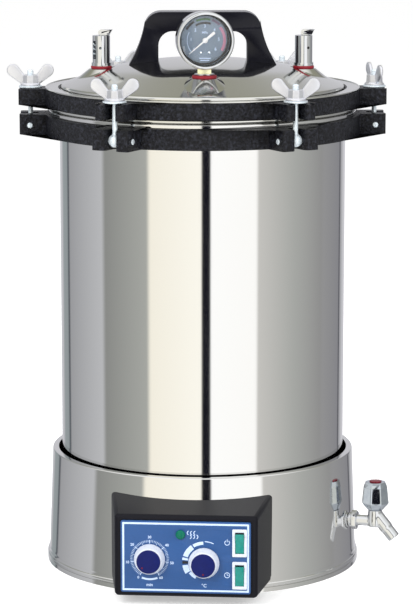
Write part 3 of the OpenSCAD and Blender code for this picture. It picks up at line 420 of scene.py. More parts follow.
def softCopy(node, name, edge, segments=3, angle=32):
    # A copy of a CAD solid with its doubles merged, its flat faces joined and its edges softened.
    source = frame["nodes"][node]
    piece = bpy.data.objects.new(name, source.data.copy())
    bpy.context.scene.collection.objects.link(piece)
    editAll(piece)
    bpy.ops.mesh.remove_doubles(threshold=0.01 * unit)
    bpy.ops.mesh.dissolve_limited(angle_limit=math.radians(0.6))
    bpy.ops.mesh.customdata_custom_splitnormals_clear()
    endEdit()
    softenEdges(piece, edge, segments, angle)
    smooth(piece)
    return piece


# The three fittings on the lid: the gauge's turn, their radius, seat height and washer, the dial's height
fittings = {"turn": 5.6, "radius": 101.0, "seat": 499.86, "washer": 3.0, "gauge": 536.86}


# Camera and light

cameraLook = {"side": 4.6, "distance": 2916.9, "height": 776.8, "down": 9.855, "lens": 174.2,
              "shiftX": 0.0066, "shiftY": -0.0119}


def addCamera(look):
    lens = bpy.data.cameras.new("camera")
    lens.lens = look["lens"]
    lens.shift_x = look["shiftX"]
    lens.shift_y = look["shiftY"]
    lens.clip_end = 50
    camera = bpy.data.objects.new("camera", lens)
    bpy.context.scene.collection.objects.link(camera)
    camera.matrix_world = atTurn(look["side"], look["distance"], look["height"]) @ about(90 - look["down"], "X")
    bpy.context.scene.camera = camera


# The studio that gloss reflects, by its bearing from the camera: stop, brightness, tint
studio = {
    "bands": [
        (-180, 0.78, "EAEAF0"), (-161, 0.72, "EAEAF0"), (-154, 0.47, "DCE6EA"), (-143, 0.46, "DCE6EA"),
        (-140, 0.14, "8090A8"), (-137, 0.48, "E8E9EE"), (-90, 0.70, "EDEEF2"), (-86, 0.39, "E8EAE6"),
        (-46, 0.54, "F0F2EC"), (-43.2, 1.12, "FFFAEC"), (-1.0, 1.22, "FFFCF2"), (-0.2, 0.03, "9090B8"),
        (6.0, 0.03, "9090B8"), (6.6, 1.24, "FFFFFE"), (44.5, 1.22, "FFFEFC"), (46, 0.78, "F2F0EC"),
        (80, 0.56, "EEF0EC"), (112, 0.40, "EEEEEE"), (116, 0.42, "ECECEE"), (146, 0.36, "E4E4EC"),
        (148, 0.12, "808098"), (151, 0.50, "E8E8EE"), (161, 0.76, "EAEAF0"), (180, 0.78, "EAEAF0")],
    "overhead": (0.40, "F2F2DC"), "upperFront": (1.15, "FFFFFF"), "below": (0.75, "FFFFFF"),
    "roomLight": (0.72, "FFFFFF"), "rise": (0.30, 0.75), "sink": (-0.45, -0.85), "front": (-0.40, -0.10),
}


def addStudio(look, side):
    world = bpy.data.worlds.new("studio")
    world.use_nodes = True
    bpy.context.scene.world = world
    tree = world.node_tree
    tree.nodes.clear()
    path = addNode(tree, "LightPath").outputs
    ray = addNode(tree, "SeparateXYZ", {"Vector": addNode(tree, "TexCoord").outputs["Generated"]}).outputs
    back = addNode(tree, "Math", {0: ray["Y"], 1: -1.0}, operation="MULTIPLY").outputs["Value"]
    bearing = addNode(tree, "Math", {0: ray["X"], 1: back}, operation="ARCTAN2").outputs["Value"]
    turned = addNode(tree, "Math", {0: bearing, 1: math.radians(180 - side)}, operation="ADD").outputs["Value"]
    wrapped = addNode(tree, "Math", {0: turned, 1: math.tau, 2: 0.0}, operation="WRAP").outputs["Value"]
    share = addNode(tree, "Math", {0: wrapped, 1: math.tau}, operation="DIVIDE").outputs["Value"]
    ramp = addNode(tree, "ValToRGB", {"Fac": share})
    stops = ramp.color_ramp.elements
    while len(stops) > 1:
        stops.remove(stops[-1])
    for i, (angle, level, tint) in enumerate(look["bands"]):
        place = (angle + 180) / 360
        stop = stops[0] if i == 0 else stops.new(place)
        stop.position = place
        stop.color = lit(level, tint)
    shares = {}
    for name, value in (("rise", ray["Z"]), ("sink", ray["Z"]), ("front", back)):
        least, most = look[name]
        shares[name] = addNode(tree, "MapRange", {"Value": value, "From Min": least, "From Max": most})
    layers = ramp.outputs["Color"]
    top = addNode(tree, "Mix", {"Factor": shares["front"].outputs["Result"], 6: lit(*look["overhead"]),
                                7: lit(*look["upperFront"])}, data_type="RGBA")
    for factor, colour in ((shares["rise"].outputs["Result"], top.outputs[2]),
                           (shares["sink"].outputs["Result"], lit(*look["below"]))):
        layers = addNode(tree, "Mix", {"Factor": factor, 6: layers, 7: colour}, data_type="RGBA").outputs[2]
    shown = addNode(tree, "Mix", {"Factor": path["Is Glossy Ray"], 6: lit(*look["roomLight"]), 7: layers},
                    data_type="RGBA")
    plain = addNode(tree, "Math", {0: path["Is Camera Ray"], 1: path["Is Transmission Ray"]}, operation="MAXIMUM")
    seen = addNode(tree, "Mix", {"Factor": plain.outputs["Value"], 6: shown.outputs[2], 7: (1, 1, 1, 1)},
                   data_type="RGBA")
    backdrop = addNode(tree, "Background", {"Color": seen.outputs[2], "Strength": 1.0})
    addNode(tree, "OutputWorld", {"Surface": backdrop.outputs["Background"]})


# Turn, distance, height, size and watts of each lamp
softboxes = {
    "key light": (-32, 2200, 1500, (1400, 1600), 46),
    "fill light": (55, 2400, 1300, (1400, 1600), 30),
    "top light": (180, 900, 2000, (1600, 1200), 26),
}
aimHeight = 300


def addSoftbox(name, turn, distance, height, size, power):
    light = bpy.data.lights.new(name, "AREA")
    light.shape = "RECTANGLE"
    light.size, light.size_y = size[0] * unit, size[1] * unit
    light.energy = power
    box = bpy.data.objects.new(name, light)
    bpy.context.scene.collection.objects.link(box)
    place = atTurn(turn, distance, height).to_translation()
    aim = (Vector((0, 0, aimHeight * unit)) - place).to_track_quat("-Z", "Y")
    box.matrix_world = Matrix.Translation(place) @ aim.to_matrix().to_4x4()
    box.visible_glossy = False  # the studio's own bands are what the metal shows


floorLook = {"wide": 40000, "glow": 0.42}


def addFloor(look):
    # White paper sweep: keeps a faint shadow, otherwise as white as the background
    paper = grained("white paper", ["E4E4E4"], 3, (0.85, 0.95))
    tree = paper.node_tree
    path = addNode(tree, "LightPath").outputs
    plain = addNode(tree, "Math", {0: path["Is Camera Ray"], 1: path["Is Glossy Ray"]}, operation="MAXIMUM")
    shown = addNode(tree, "Math", {0: plain.outputs["Value"], 1: path["Is Transmission Ray"]}, operation="MAXIMUM")
    glow = [look["glow"]] * 3 + [1]
    feed(tree, tree.nodes["Principled BSDF"], {"Emission Color": glow, "Emission Strength": shown.outputs["Value"]})
    pickNothing()
    bpy.ops.mesh.primitive_plane_add(size=look["wide"] * unit)
    floor = bpy.context.object
    floor.name = "floor"
    floor.data.materials.append(paper)
    floor.visible_glossy = False


addCamera(cameraLook)
addStudio(studio, cameraLook["side"])
for name, settings in softboxes.items():
    addSoftbox(name, *settings)
addFloor(floorLook)
print("camera, studio and floor set")


# Base and vessel

vesselLook = {"wall": 143.0, "inside": 140.0, "corner": 12.0, "flange": 153.5, "flangeHigh": 4.5, "steps": 192,
              "rimEdges": (0.6, 0.5, 1.4, 0.8)}


def addVessel(look):
    low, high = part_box("vessel")
    bottom, rim = low.z / unit, high.z / unit
    wall, inside, flange, corner = look["wall"], look["inside"], look["flange"], look["corner"]
    under, floorZ = rim - look["flangeHigh"], bottom + wall - inside
    profile = rounded(
        [(0, bottom), (wall, bottom), (wall, under), (flange, under), (flange, rim), (inside, rim),
         (inside, floorZ), (0, floorZ)],
        [0, corner, *look["rimEdges"], corner - (wall - inside), 0], 6)
    standFor("vessel", turnedPiece("vessel_shell", profile, look["steps"]), "mirror")


# The bead's two radii, inset and height over the band; the wave's points count from the low radius and the flare
skirtLook = {"lip": 152.5, "lipWide": 6.0, "lipRound": 1.5, "low": 156.2, "foot": 158.5, "ledge": 14.0,
             "floor": 4.0, "band": 4.0, "groove": (1.0, 0.5, 1.2), "bead": (1.3, 1.8, 0.2, 3.0), "flare": 15.0,
             "wave": [(0.9, -5.4), (0.5, -4), (0.75, -3), (0.55, -1.8)], "sheet": 1.5, "steps": 192}


def addSkirt(look):
    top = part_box("base_skirt")[1].z / unit
    foot, low, lip, sheet = look["foot"], look["low"], look["lip"], look["sheet"]
    band, flare, rim = look["band"], look["flare"], look["lipRound"]
    ledge, inner = foot - look["ledge"], lip - look["lipWide"]
    deep, start, end = look["groove"]
    wide, half, inset, at = look["bead"]
    outline = [(ledge, 0), (foot, 0), (foot, band), (foot - deep, band + start), (foot - deep, band + end)]
    outline += arc(foot - deep - inset, band + at, wide, range(-90, 91, 20), tall=half)
    outline += [(low + x, flare + z) for x, z in look["wave"]] + [(low, flare), (lip, top - rim)]
    outline += arc(lip - rim, top - rim, rim, range(15, 91, 15))
    outline += [(inner, top), (inner, top - sheet), (lip - sheet, top - sheet), (low - sheet, flare),
                (low - sheet, look["floor"]), (ledge, look["floor"])]
    standFor("base_skirt", turnedPiece("skirt_shell", outline, look["steps"], closed=True), "mirror")


# Lid

lidLook = {"steps": 192, "crownR": 450.0, "join": 95.0, "sheet": 2.0, "neck": 142.5, "edgeIn": 1.0,
           "crownSteps": 26, "edgeRise": 3.4, "edgeRound": 3.2, "flangeDrop": 16.0,
           "rimEdges": (0.4, 0.6, 1.8, 1.5, 0.5)}
# Each seat's radius and the width of its pressed cone, by its turn from the gauge
seatLook = {"cones": {-90: (12.2, 14.0), 0: (13.4, 22.0), 90: (12.2, 14.0)}, "round": 1.0, "steps": 14,
            "dip": 0.6, "room": (1.0, 20.0), "hollow": 60.0}
brimLook = {"inner": 144.4, "outer": 156.6, "sheet": 0.8, "roll": 0.8, "gap": 0.05, "rollIn": 0.2, "foldIn": 1.2}


def addLid(look, seatSizes, brim):
    low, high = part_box("lid_dome")
    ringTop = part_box("upper_clamp_ring")[1].z / unit
    apex, under, flange = high.z / unit, low.z / unit, high.x / unit
    crownR, join, sheet, neck = look["crownR"], look["join"], look["sheet"], look["neck"]
    joinZ = apex - crownR + math.sqrt(crownR ** 2 - join ** 2)
    edge = neck - look["edgeIn"]

    def crown(r):
        if r <= join:
            return apex - crownR + math.sqrt(crownR ** 2 - r ** 2)
        return joinZ + (ringTop + look["edgeRise"] - joinZ) * (r - join) / (edge - join)

    radii = [edge * (i / look["crownSteps"]) for i in range(look["crownSteps"] + 1)]
    outline = [(r, crown(r)) for r in radii[:-2]]
    outline += rounded([(radii[-2], crown(radii[-2])), (edge, crown(edge)), (edge, ringTop)],
                       [0, look["edgeRound"], 0], 8)
    flangeZ = ringTop - look["flangeDrop"]
    outline += rounded([(edge, ringTop), (neck, ringTop - 1), (neck, flangeZ), (flange, flangeZ), (flange, under),
                        (neck - sheet, under), (neck - sheet, ringTop - 2 * sheet)], [0, *look["rimEdges"], 0], 6)[1:]
    outline += [(r, crown(r) - sheet) for r in reversed(radii[:-1])]
    shell = turnedPiece("lid_shell", outline, look["steps"])
    parts = [shell]

    # The seats stand on cones that run out under the dome, where each is cut by the dome's inner half
    seatZ, (spare, roomHigh) = fittings["seat"], seatSizes["room"]
    hollowLow = seatZ - seatSizes["hollow"]
    hollow = [(0, hollowLow), (edge, hollowLow)] + [(r, crown(r) - sheet / 2) for r in reversed(radii)]
    for side, (radius, spread) in seatSizes["cones"].items():
        place = atTurn(fittings["turn"] + side, fittings["radius"])
        cutPiece(shell, [movePiece(turnedBar("room", radius + spare, seatZ, seatZ + roomHigh), place)])
        drop = seatZ - crown(fittings["radius"] + radius + spread) + seatSizes["dip"]
        shares = [i / seatSizes["steps"] for i in range(1, seatSizes["steps"] + 1)]
        cone = [(radius + spread * share, seatZ - drop * share) for share in shares]
        profile = rounded([(0, seatZ), (radius, seatZ), cone[0]], [0, seatSizes["round"], 0], 6)
        seat = movePiece(turnedPiece("seat", profile + cone[1:] + [(0, cone[-1][1])], 96), place)
        parts.append(cutPiece(seat, [turnedPiece("hollow", hollow, look["steps"])]))

    low, roll = ringTop + brim["gap"], brim["roll"]
    outline = [(brim["inner"], low)] + arc(brim["outer"] - brim["rollIn"], low + roll, roll, range(-90, 181, 30))
    outline += [(brim["outer"] - brim["foldIn"], low + brim["sheet"]), (brim["inner"], low + brim["sheet"])]
    parts.append(turnedPiece("brim", outline, look["steps"], closed=True))
    standFor("lid_dome", joinPieces(parts, "lid_shell"), "spun")


handleLook = {"round": 3.6, "steps": 6, "angle": 40}


def addHandle(look):
    piece = softCopy("lid_handle", "handle", look["round"], look["steps"], look["angle"])
    standFor("lid_handle", piece, "bakelite")


# Clamps

nutLook = {"turns": [-31, 14, 40, -25, 90, 29], "hubLow": 8.7, "hubTop": 8.0, "hubFrom": 0.6, "hubHigh": 10.5,
           "hubEdge": 0.5, "facets": 9, "foot": [(1.2, 0), (1.2, 1.5), (-0.4, 3.0)], "footEdges": (0.5, 0.6, 0.5),
           "bore": (3.5, -5, 40), "span": 47.0, "high": 21.5, "tip": 6.3, "root": 4.0, "thick": 3.4,
           "wingEdge": 1.3}
washerLook = {"inner": 3.5, "outer": 11.5, "thick": 1.8, "edges": (0.1, 0.5, 0.5, 0.1), "steps": 72}
# Each turn of thread: the gap at its root and the two ends of its crest, as shares of the pitch
threadLook = {"pitch": 1.25, "depth": 0.32, "long": 18.5, "gap": 0.1, "crest": (0.45, 0.6), "end": 0.9}
boltLook = {"ball": 6.5, "half": 4.7, "hole": (3.1, 12), "shank": 2.4, "thread": 3.3, "neck": 0.6, "runOut": 0.7,
            "trim": (20, 10)}
ringLook = {"round": 2.0, "steps": 4}
pinLook = {"radius": 3.0, "half": 20.5, "edge": 1.2, "steps": 40}


def wingOutline(look, side):
    tipX, tipZ = look["span"] / 2 - look["tip"], look["high"] - look["tip"]
    rootX, rootZ = look["hubTop"] - look["root"] / 2, look["root"]
    lean = math.atan2(tipZ - rootZ, tipX - rootX)
    points = arc(tipX, tipZ, look["tip"], range(-100, 101, 20), lean)
    points += arc(rootX, rootZ, look["root"], range(110, 251, 28), lean)
    return [(side * x, z) for x, z in (points if side > 0 else reversed(points))]


def makeWingNut(look):
    low, start, high = look["hubLow"], look["hubFrom"], look["hubHigh"]
    hub = turnedPiece("wing nut", [(0, start), (low, start), (look["hubTop"], high), (0, high)], look["facets"])
    softenEdges(hub, look["hubEdge"], 3)
    foot = [(low + wide, z) for wide, z in look["foot"]]
    foot = rounded([(0, foot[0][1]), *foot, (0, foot[-1][1])], [0, *look["footEdges"], 0], 4)
    cutPiece(hub, [turnedPiece("foot", foot, 64)], "UNION")
    for side in (-1, 1):
        wing = platePiece("wing", wingOutline(look, side), look["thick"], look["wingEdge"], 4)
        cutPiece(hub, [movePiece(wing, shift(y=look["thick"] / 2) @ facing)], "UNION")
    return cutPiece(hub, [turnedBar("bore", *look["bore"])])


def makeThread(look, radius, height):
    # The bolt's thread above the nut, as closed turned grooves
    pitch, root, gap = look["pitch"], radius - look["depth"], look["gap"]
    rise, fall = look["crest"]
    profile = [(0, -look["long"])]
    for i in range(int(look["long"] / pitch)):
        z = -look["long"] + i * pitch
        profile += [(root, z + gap), (radius, z + pitch * rise), (radius, z + pitch * fall), (root, z + pitch - gap)]
    profile += [(radius - look["end"], 0), (0, 0)]
    return movePiece(turnedPiece("thread", profile, 48), shift(z=height))


def addEyeBolt(number, look, thread):
    # Threaded shank with a ball-shaped eye on the cross pin
    x, y = jointOf[f"nut_spin_{number}"]["pos_m"][:2]
    pinZ = jointOf[f"eye_bolt_swing_{number}"]["pos_m"][2] / unit
    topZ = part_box(f"eye_bolt_{number}")[1].z / unit
    start, ball, thin = topZ - thread["long"], look["ball"], look["shank"]
    profile = arc(0, pinZ, ball, range(-90, 61, 15))
    profile += [(thin, pinZ + ball + look["neck"]), (thin, start - look["runOut"]), (look["thread"], start),
                (0, start)]
    shank = turnedPiece("shank", profile, 48)
    across = shift(z=pinZ) @ about(90, "Y")
    holeR, holeHalf = look["hole"]
    cutPiece(shank, [movePiece(turnedBar("hole", holeR, -holeHalf, holeHalf, steps=48), across)])
    wide, thick = look["trim"]
    cutPiece(shank, [movePiece(platePiece("trim", rectangle(wide, wide), thick), across @ shift(z=trimZ))
                     for trimZ in (look["half"], -thick - look["half"])])
    bolt = joinPieces([shank, makeThread(thread, look["thread"], topZ)], f"eye_bolt_turned_{number}")
    movePiece(bolt, Matrix.Translation((x, y, 0)) @ about(turnOf(x, y)))
    standFor(f"eye_bolt_{number}", bolt, "zinc")


def addClamps(look, ring, bolt, thread):
    nut = makeWingNut(look)
    for number, spin in enumerate(look["turns"], 1):
        x, y, z = jointOf[f"nut_spin_{number}"]["pos_m"]
        place = Matrix.Translation((x, y, z)) @ about(turnOf(x, y) + spin)
        standFor(f"wing_nut_{number}", copyPiece(nut, f"wing_nut_cast_{number}", place), "casting")
        addEyeBolt(number, bolt, thread)
        node = f"clamp_washer_{number}"
        washer = turnedRing(f"washer_ring_{number}", ring["inner"], ring["outer"], 0, ring["thick"], ring["edges"],
                            ring["steps"])
        standFor(node, movePiece(washer, Matrix.Translation((x, y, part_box(node)[0].z))), "zinc")
    bpy.data.objects.remove(nut)


def addRings(look, pin):
    for node, name in (("lower_clamp_ring", "lower_ring_cast"), ("upper_clamp_ring", "upper_ring_cast")):
        standFor(node, softCopy(node, name, look["round"], look["steps"]), "cast")
    pins = []
    for number in range(1, 7):
        x, y, z = jointOf[f"eye_bolt_swing_{number}"]["pos_m"]
        rod = turnedBar("pin", pin["radius"], -pin["half"], pin["half"], [pin["edge"]] * 2, pin["steps"], 5)
        pins.append(movePiece(rod, Matrix.Translation((x, y, z)) @ about(turnOf(x, y)) @ about(90, "Y")))
    standFor("clamp_pins", joinPieces(pins, "hinge_pins"), "zinc")


addVessel(vesselLook)
addSkirt(skirtLook)
addLid(lidLook, seatLook, brimLook)
addHandle(handleLook)
addRings(ringLook, pinLook)
addClamps(nutLook, washerLook, boltLook, threadLook)
print("vessel, base, lid and clamps made")


# Print, as thin plates on a face

printLook = {"sunk": 0.05, "thick": 0.15, "bold": 0.07}


def flatPrint(name, outline, x, y, turn=0.0):
    piece = platePiece(name, outline, printLook["thick"])
    return movePiece(piece, shift(x, y, -printLook["sunk"]) @ about(-turn))


def bar(width, height, x, y, turn=0.0):
    # A printed bar; it turns clockwise
    return flatPrint("bar", rectangle(width, height), x, y, turn)


def sector(inner, outer, start, end, x=0.0, y=0.0):
    # A printed piece of a ring; angles run clockwise from straight up
    steps = max(2, int(abs(end - start) / 5))
    return flatPrint("sector", clockArc(outer, start, end, steps) + clockArc(inner, end, start, steps), x, y)


def ticks(count, start, step, rim, sizes, x=0.0, y=0.0):
    # Ticks that end on a circle; a tick takes the first size whose key divides its number
    made = []
    for i in range(count + 1):
        width, long = next(size for every, size in sizes.items() if i % every == 0)
        side, up = atClock(rim - long / 2, start + i * step)
        made.append(bar(width, long, x + side, y + up, start + i * step))
    return made


def label(text, size, x, y):
    # Generic numbers and units only
    pickNothing()
    bpy.ops.object.text_add(location=(0, 0, 0))
    written = bpy.context.object.data
    written.body = text
    written.size = size * unit
    written.align_x = "CENTER"
    written.align_y = "CENTER"
    written.resolution_u = 3
    written.extrude = printLook["thick"] / 2 * unit
    written.offset = printLook["bold"] * unit
    bpy.ops.object.convert(target="MESH")
    piece = bpy.context.object
    editAll(piece)
    bpy.ops.mesh.remove_doubles(threshold=0.002 * unit)
    endEdit()
    return movePiece(piece, shift(x, y))


def addPrint(pieces, name, finish, node, place):
    addTo(node, movePiece(joinPieces(pieces, name), place), finish)


# Gauge

# The sleeve is the gauge's black retaining ring, set a little off centre so that its crescent at the lower right is
# painted shade under the bezel: bore, shift, how far in from the body, top
gaugeLook = {"radius": 28.0, "body": 27.2, "deep": 25.0, "lip": 7.0, "window": 23.9, "dialAt": 8.5, "turn": 6.0,
             "wall": (0.9, 1.5), "step": (1.3, 2.2, 3.2), "edges": (2.0, 0.2, 0.6, 2.0, 0.5, 0.3, 0.2, 0.3, 0.5),
             "sleeveAndPaintedShade": (22.6, -1.3, 1.1, 2.8, -4.8), "glassAt": 3.4, "glassThick": 1.2, "plateThick": 1.0, "fit": 1.2}


def onGauge(depth=0.0):
    # The gauge's face, its axis along +Z, at a depth behind its front
    face = atTurn(fittings["turn"], fittings["radius"], fittings["gauge"])
    return face @ about(gaugeLook["turn"]) @ shift(y=-gaugeLook["deep"] / 2) @ facing @ shift(z=-depth)


def addGauge(look):
    outer, body, back, window, lip = look["radius"], look["body"], -look["deep"], look["window"], -look["lip"]
    wall, thick = look["wall"]
    lead, shelf, floorZ = look["step"]
    case = turnedPiece("gauge_shell", rounded(
        [(0, back), (body, back), (body, lip), (outer, lip), (outer, 0), (window + lead, 0), (window, -shelf),
         (window, -floorZ), (body - wall, -floorZ), (body - wall, back + thick), (0, back + thick)],
        [0, *look["edges"], 0], 5), 128)
    standFor("gauge_case", movePiece(case, onGauge()), "chrome")
    inner, right, up, inset, top = look["sleeveAndPaintedShade"]
    # The retaining ring, set off centre: its black crescent at the lower right of the window is painted shade
    sleeveAndPaintedShade = turnedRing("gauge_sleeve_painted_shade", inner, body - inset, -look["dialAt"], top, (0.1, 0.3, 0.3, 0.4), 96)
    addTo("gauge_case", movePiece(sleeveAndPaintedShade, onGauge() @ shift(right, up)), "ringAndPaintedShade")
    wide, glassAt = body - look["fit"], -look["glassAt"]
    glass = turnedBar("gauge_window", wide, glassAt - look["glassThick"], glassAt, (0.3, 0.3), 96)
    standFor("gauge_glass", movePiece(glass, onGauge()), "glass")
    disc = turnedBar("gauge_plate", wide, -look["plateThick"], 0, (0.2, 0.2), 96)
    standFor("gauge_dial", movePiece(disc, onGauge(look["dialAt"])), "dial")


# Ticks, numbers and unit by size and place; arcs by inner and outer radius, start and end; bars by size and place
dialPrint = {"zero": -130.0, "perMark": 43.333, "marks": 6, "rim": 23.0,
             "ticks": {10: (0.5, 2.6), 5: (0.5, 1.9), 1: (0.28, 1.2)}, "numbers": (4.2, 13.2), "unit": (3.2, 0, 7.2),
             "line": (16.6, 17.1, -130, -62), "bars": [(11.0, 1.0, 0, -17.0), (8.5, 1.0, 0, -19.0)],
             "dark": [(19.2, 21.4, -60, -30), (15.4, 17.4, -32, 20)], "green": (19.0, 20.9, -24, 15),
             "mauve": (19.0, 21.4, 19, 44), "red": (17.4, 20.0, 50, 122),
             "screw": (1.0, -0.5, 0.6), "slot": (3, 0.3), "screwX": 4.0, "screwY": -11.6}


def addDialPrint(look):
    zero, step, place = look["zero"], look["perMark"], onGauge(gaugeLook["dialAt"])
    dark = ticks(look["marks"] * 10, zero, step / 10, look["rim"], look["ticks"])
    dark += [sector(*sizes) for sizes in look["dark"]]
    size, at = look["numbers"]
    pale = [label(str(i), size, *atClock(at, zero + i * step)) for i in range(look["marks"] + 1)]
    pale += [label("MPa", *look["unit"]), sector(*look["line"])] + [bar(*sizes) for sizes in look["bars"]]
    green, mauve, red = ([sector(*look[name])] for name in ("green", "mauve", "red"))
    for pieces, name, finish in ((dark, "dial_ticks", "blackInk"), (pale, "dial_numbers", "print"),
                                 (green, "dial_green", "greenInk"), (mauve, "dial_mauve", "mauveInk"),
                                 (red, "dial_red", "redInk")):
        addPrint(pieces, name, finish, "gauge_dial", place)
    screws = []
    long, wide = look["slot"]
    for side in (-1, 1):
        screw = turnedBar("screw", *look["screw"], (0.1, 0.3), 24, crown=0.2)
        cutPiece(screw, [movePiece(platePiece("slot", rectangle(long, wide), 1), shift(z=0.3))])
        screws.append(movePiece(screw, shift(side * look["screwX"], look["screwY"])))
    addPrint(screws, "dial_screws", "zinc", "gauge_dial", place)


# Half of the blade's outline from its tip to its tail, and the hub's outline
pointerLook = {"blade": [(0.25, 20.0), (0.85, 1.5), (1.15, -1.5), (1.5, -10.8), (1.0, -12.0)],
               "thick": 0.6, "edge": 0.12, "hub": [(0, 2.5), (1.8, 2.5), (1.8, 0), (2.6, 0), (2.6, 1.0), (0, 1.3)],
               "hubEdges": [0, 0, 0.1, 0.1, 0.4, 0], "over": 2.0}


def addPointer(look):
    right, left = look["blade"], [(-x, z) for x, z in look["blade"]]
    blade = platePiece("pointer", left[:1] + right + left[:0:-1], look["thick"], look["edge"], 2)
    hub = turnedPiece("hub", rounded(look["hub"], look["hubEdges"], 3), 32)
    place = onGauge(gaugeLook["dialAt"] - look["over"]) @ about(-dialPrint["zero"])
    standFor("gauge_pointer", movePiece(joinPieces([blade, hub], "pointer_blade"), place), "whitePaint")


stemLook = {"low": -7, "root": 4, "top": 5.6, "inGauge": 3, "nut": 10.0, "nutHigh": 1.7, "nutEdge": 0.6,
            "square": 9.4, "squareEdge": 0.45, "inCase": 0.6, "bore": 4.1,
            "washers": {0: 12.0, -90: 10.5, 90: 10.5}, "edges": (0.2, 0.9, 0.9, 0.2)}


def addStem(look):
    # The gauge's brass neck with its wrench square, the chromed nut that clamps it to the lid, and the
    # red washers under the three fittings
    seat, washer = fittings["seat"], fittings["washer"]
    place = atTurn(fittings["turn"], fittings["radius"], seat)
    gaugeLow, nutTop = fittings["gauge"] - gaugeLook["radius"] - seat, washer + look["nutHigh"]
    root, top, high = look["root"], look["top"], gaugeLow + look["inGauge"]
    neck = turnedPiece("neck", rounded(
        [(0, look["low"]), (root, look["low"]), (root, washer), (top, nutTop), (top, high), (0, high)],
        [0, 0.4, 0, 0, 0.2, 0], 3), 48)
    square = platePiece("square", clockArc(look["square"], 45, 315, 3), gaugeLow - nutTop + look["inCase"],
                        look["squareEdge"])
    movePiece(square, shift(z=nutTop))
    standFor("gauge_stem", movePiece(joinPieces([neck, square], "gauge_neck"), place), "brass")
    nut = platePiece("gauge_nut", clockArc(look["nut"], 30, 330, 5), look["nutHigh"], look["nutEdge"])
    addTo("gauge_stem", movePiece(nut, place @ shift(z=washer)), "chrome")
    rings = []
    for side, radius in look["washers"].items():
        ring = turnedRing("ring", look["bore"], radius, 0, washer, look["edges"], 64, 4)
        rings.append(movePiece(ring, atTurn(fittings["turn"] + side, fittings["radius"], seat)))
    standFor("fitting_washers", joinPieces(rings, "red_rings"), "redRubber")


# Control box

boxLook = {"front": 200.0, "wide": 137.0, "backWide": 159.0, "deep": 71.0, "low": 9.5, "high": 90.0, "rise": 6.5,
           "wall": 2.5, "round": 4.0, "gap": 0.3, "window": (8, 2, 8, 12), "panelZ": 49.75, "panelWide": 125.0,
           "panelHigh": 70.5, "panelThick": 2.0}


def boxBlock(look, inset, frontInset):
    # The box's block: a plan that widens to the back, and a top that rises to the back
    front, back = look["front"] - frontInset, look["front"] - look["deep"]
    low, high = look["low"] + inset, look["high"] - inset
    half, halfBack = look["wide"] / 2 - inset, look["backWide"] / 2 - inset
    plan = [(-half, -front), (half, -front), (halfBack, -back), (-halfBack, -back)]
    block = movePiece(platePiece("control_case", plan, high - low), shift(z=low))
    for vertex in block.data.vertices:
        if vertex.co.z > (low + 1) * unit and vertex.co.y > -(back + 1) * unit:
            vertex.co.z += look["rise"] * unit
    return block


def addBox(look, skirt):
    block = boxBlock(look, 0, 0)
    softenEdges(block, look["round"], 6)
    inner = boxBlock(look, look["wall"], look["wall"])
    softenEdges(inner, look["round"] - look["wall"], 4)
    height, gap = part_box("base_skirt")[1].z / unit, look["gap"]
    foot, flare = skirt["foot"] + gap, skirt["flare"]
    cone = turnedPiece("cone", [(0, -5), (foot, -5), (foot, flare), (skirt["low"] + gap, flare),
                                (skirt["lip"] + gap, height), (0, height)], 192)
    margin, corner, inside, deep = look["window"]
    window = platePiece("window", rectangle(look["panelWide"] - margin, look["panelHigh"] - margin, corner), deep)
    movePiece(window, shift(0, inside - look["front"], look["panelZ"]) @ facing)
    cutPiece(block, [inner, cone, window])
    standFor("control_box", block, "box")


# Places are from the panel's middle; the rings of the heat scale are arcs about its knob
panelPrint = {
    "filmEdge": 0.4, "frameWide": 1.8, "frameIn": 1.6, "timer": (-34.7, -2.2), "heat": (17.7, -5.0),
    "lamp": (-5.0, 22.3), "rockerX": 51.9, "rockerZ": (15.2, -16.8), "timerRim": 18.6,
    "timerTicks": {10: (0.75, 3.4), 5: (0.42, 3.4), 1: (0.42, 2.2)}, "minutes": (3.6, 21.8, 21.4),
    "timerArc": (19.2, 21.0, 158, 202), "timerUnit": (4.2, -25.6),
    "heatArcs": [(20.6, 21.4, 2, 26), (17.8, 20.9, -2, -32), (16.4, 21.2, -36, -72), (15.6, 21.2, -76, -83),
                 (15.6, 21.0, -98, -122), (15.4, 18.0, -126, -152)],
    "heatUnit": (4.6, -22.8), "heatDark": (15.6, 20.8, -86, -94), "waves": (8.5, 3.2, 1.9), "signIn": 12.0,
}


def onPanel(x=0.0, z=0.0):
    return shift(x, -boxLook["front"] - boxLook["panelThick"], boxLook["panelZ"] + z) @ facing


def addPanel(look):
    standFor("control_panel", softCopy("control_panel", "panel_film", look["filmEdge"], 2), "overlay")
    wide, high = boxLook["panelWide"] - 2 * look["frameIn"], boxLook["panelHigh"] - 2 * look["frameIn"]
    thick = look["frameWide"]
    white = [bar(thick, high, side * (wide - thick) / 2, 0) for side in (-1, 1)]
    white += [bar(wide - 2 * thick, thick, 0, side * (high - thick) / 2) for side in (-1, 1)]
    x, z = look["timer"]
    white += ticks(60, -150, 5, look["timerRim"], look["timerTicks"], x, z)
    size, across, tall = look["minutes"]
    for minute in range(0, 61, 10):
        turn = (minute - 30) * 5
        white.append(label(str(minute), size, x + atClock(across, turn)[0], z + atClock(tall, turn)[1]))
    size, under = look["timerUnit"]
    white += [sector(*look["timerArc"], x, z), label("min", size, x, z + under)]
    x, z = look["heat"]
    white += [sector(*sizes, x, z) for sizes in look["heatArcs"]]
    size, under = look["heatUnit"]
    white += [label("°C", size, x, z + under)] + signs(look)
    addPrint(white, "panel_white_print", "print", "control_panel", onPanel())
    addPrint([sector(*look["heatDark"], x, z)], "panel_dark_print", "blackInk", "control_panel", onPanel())


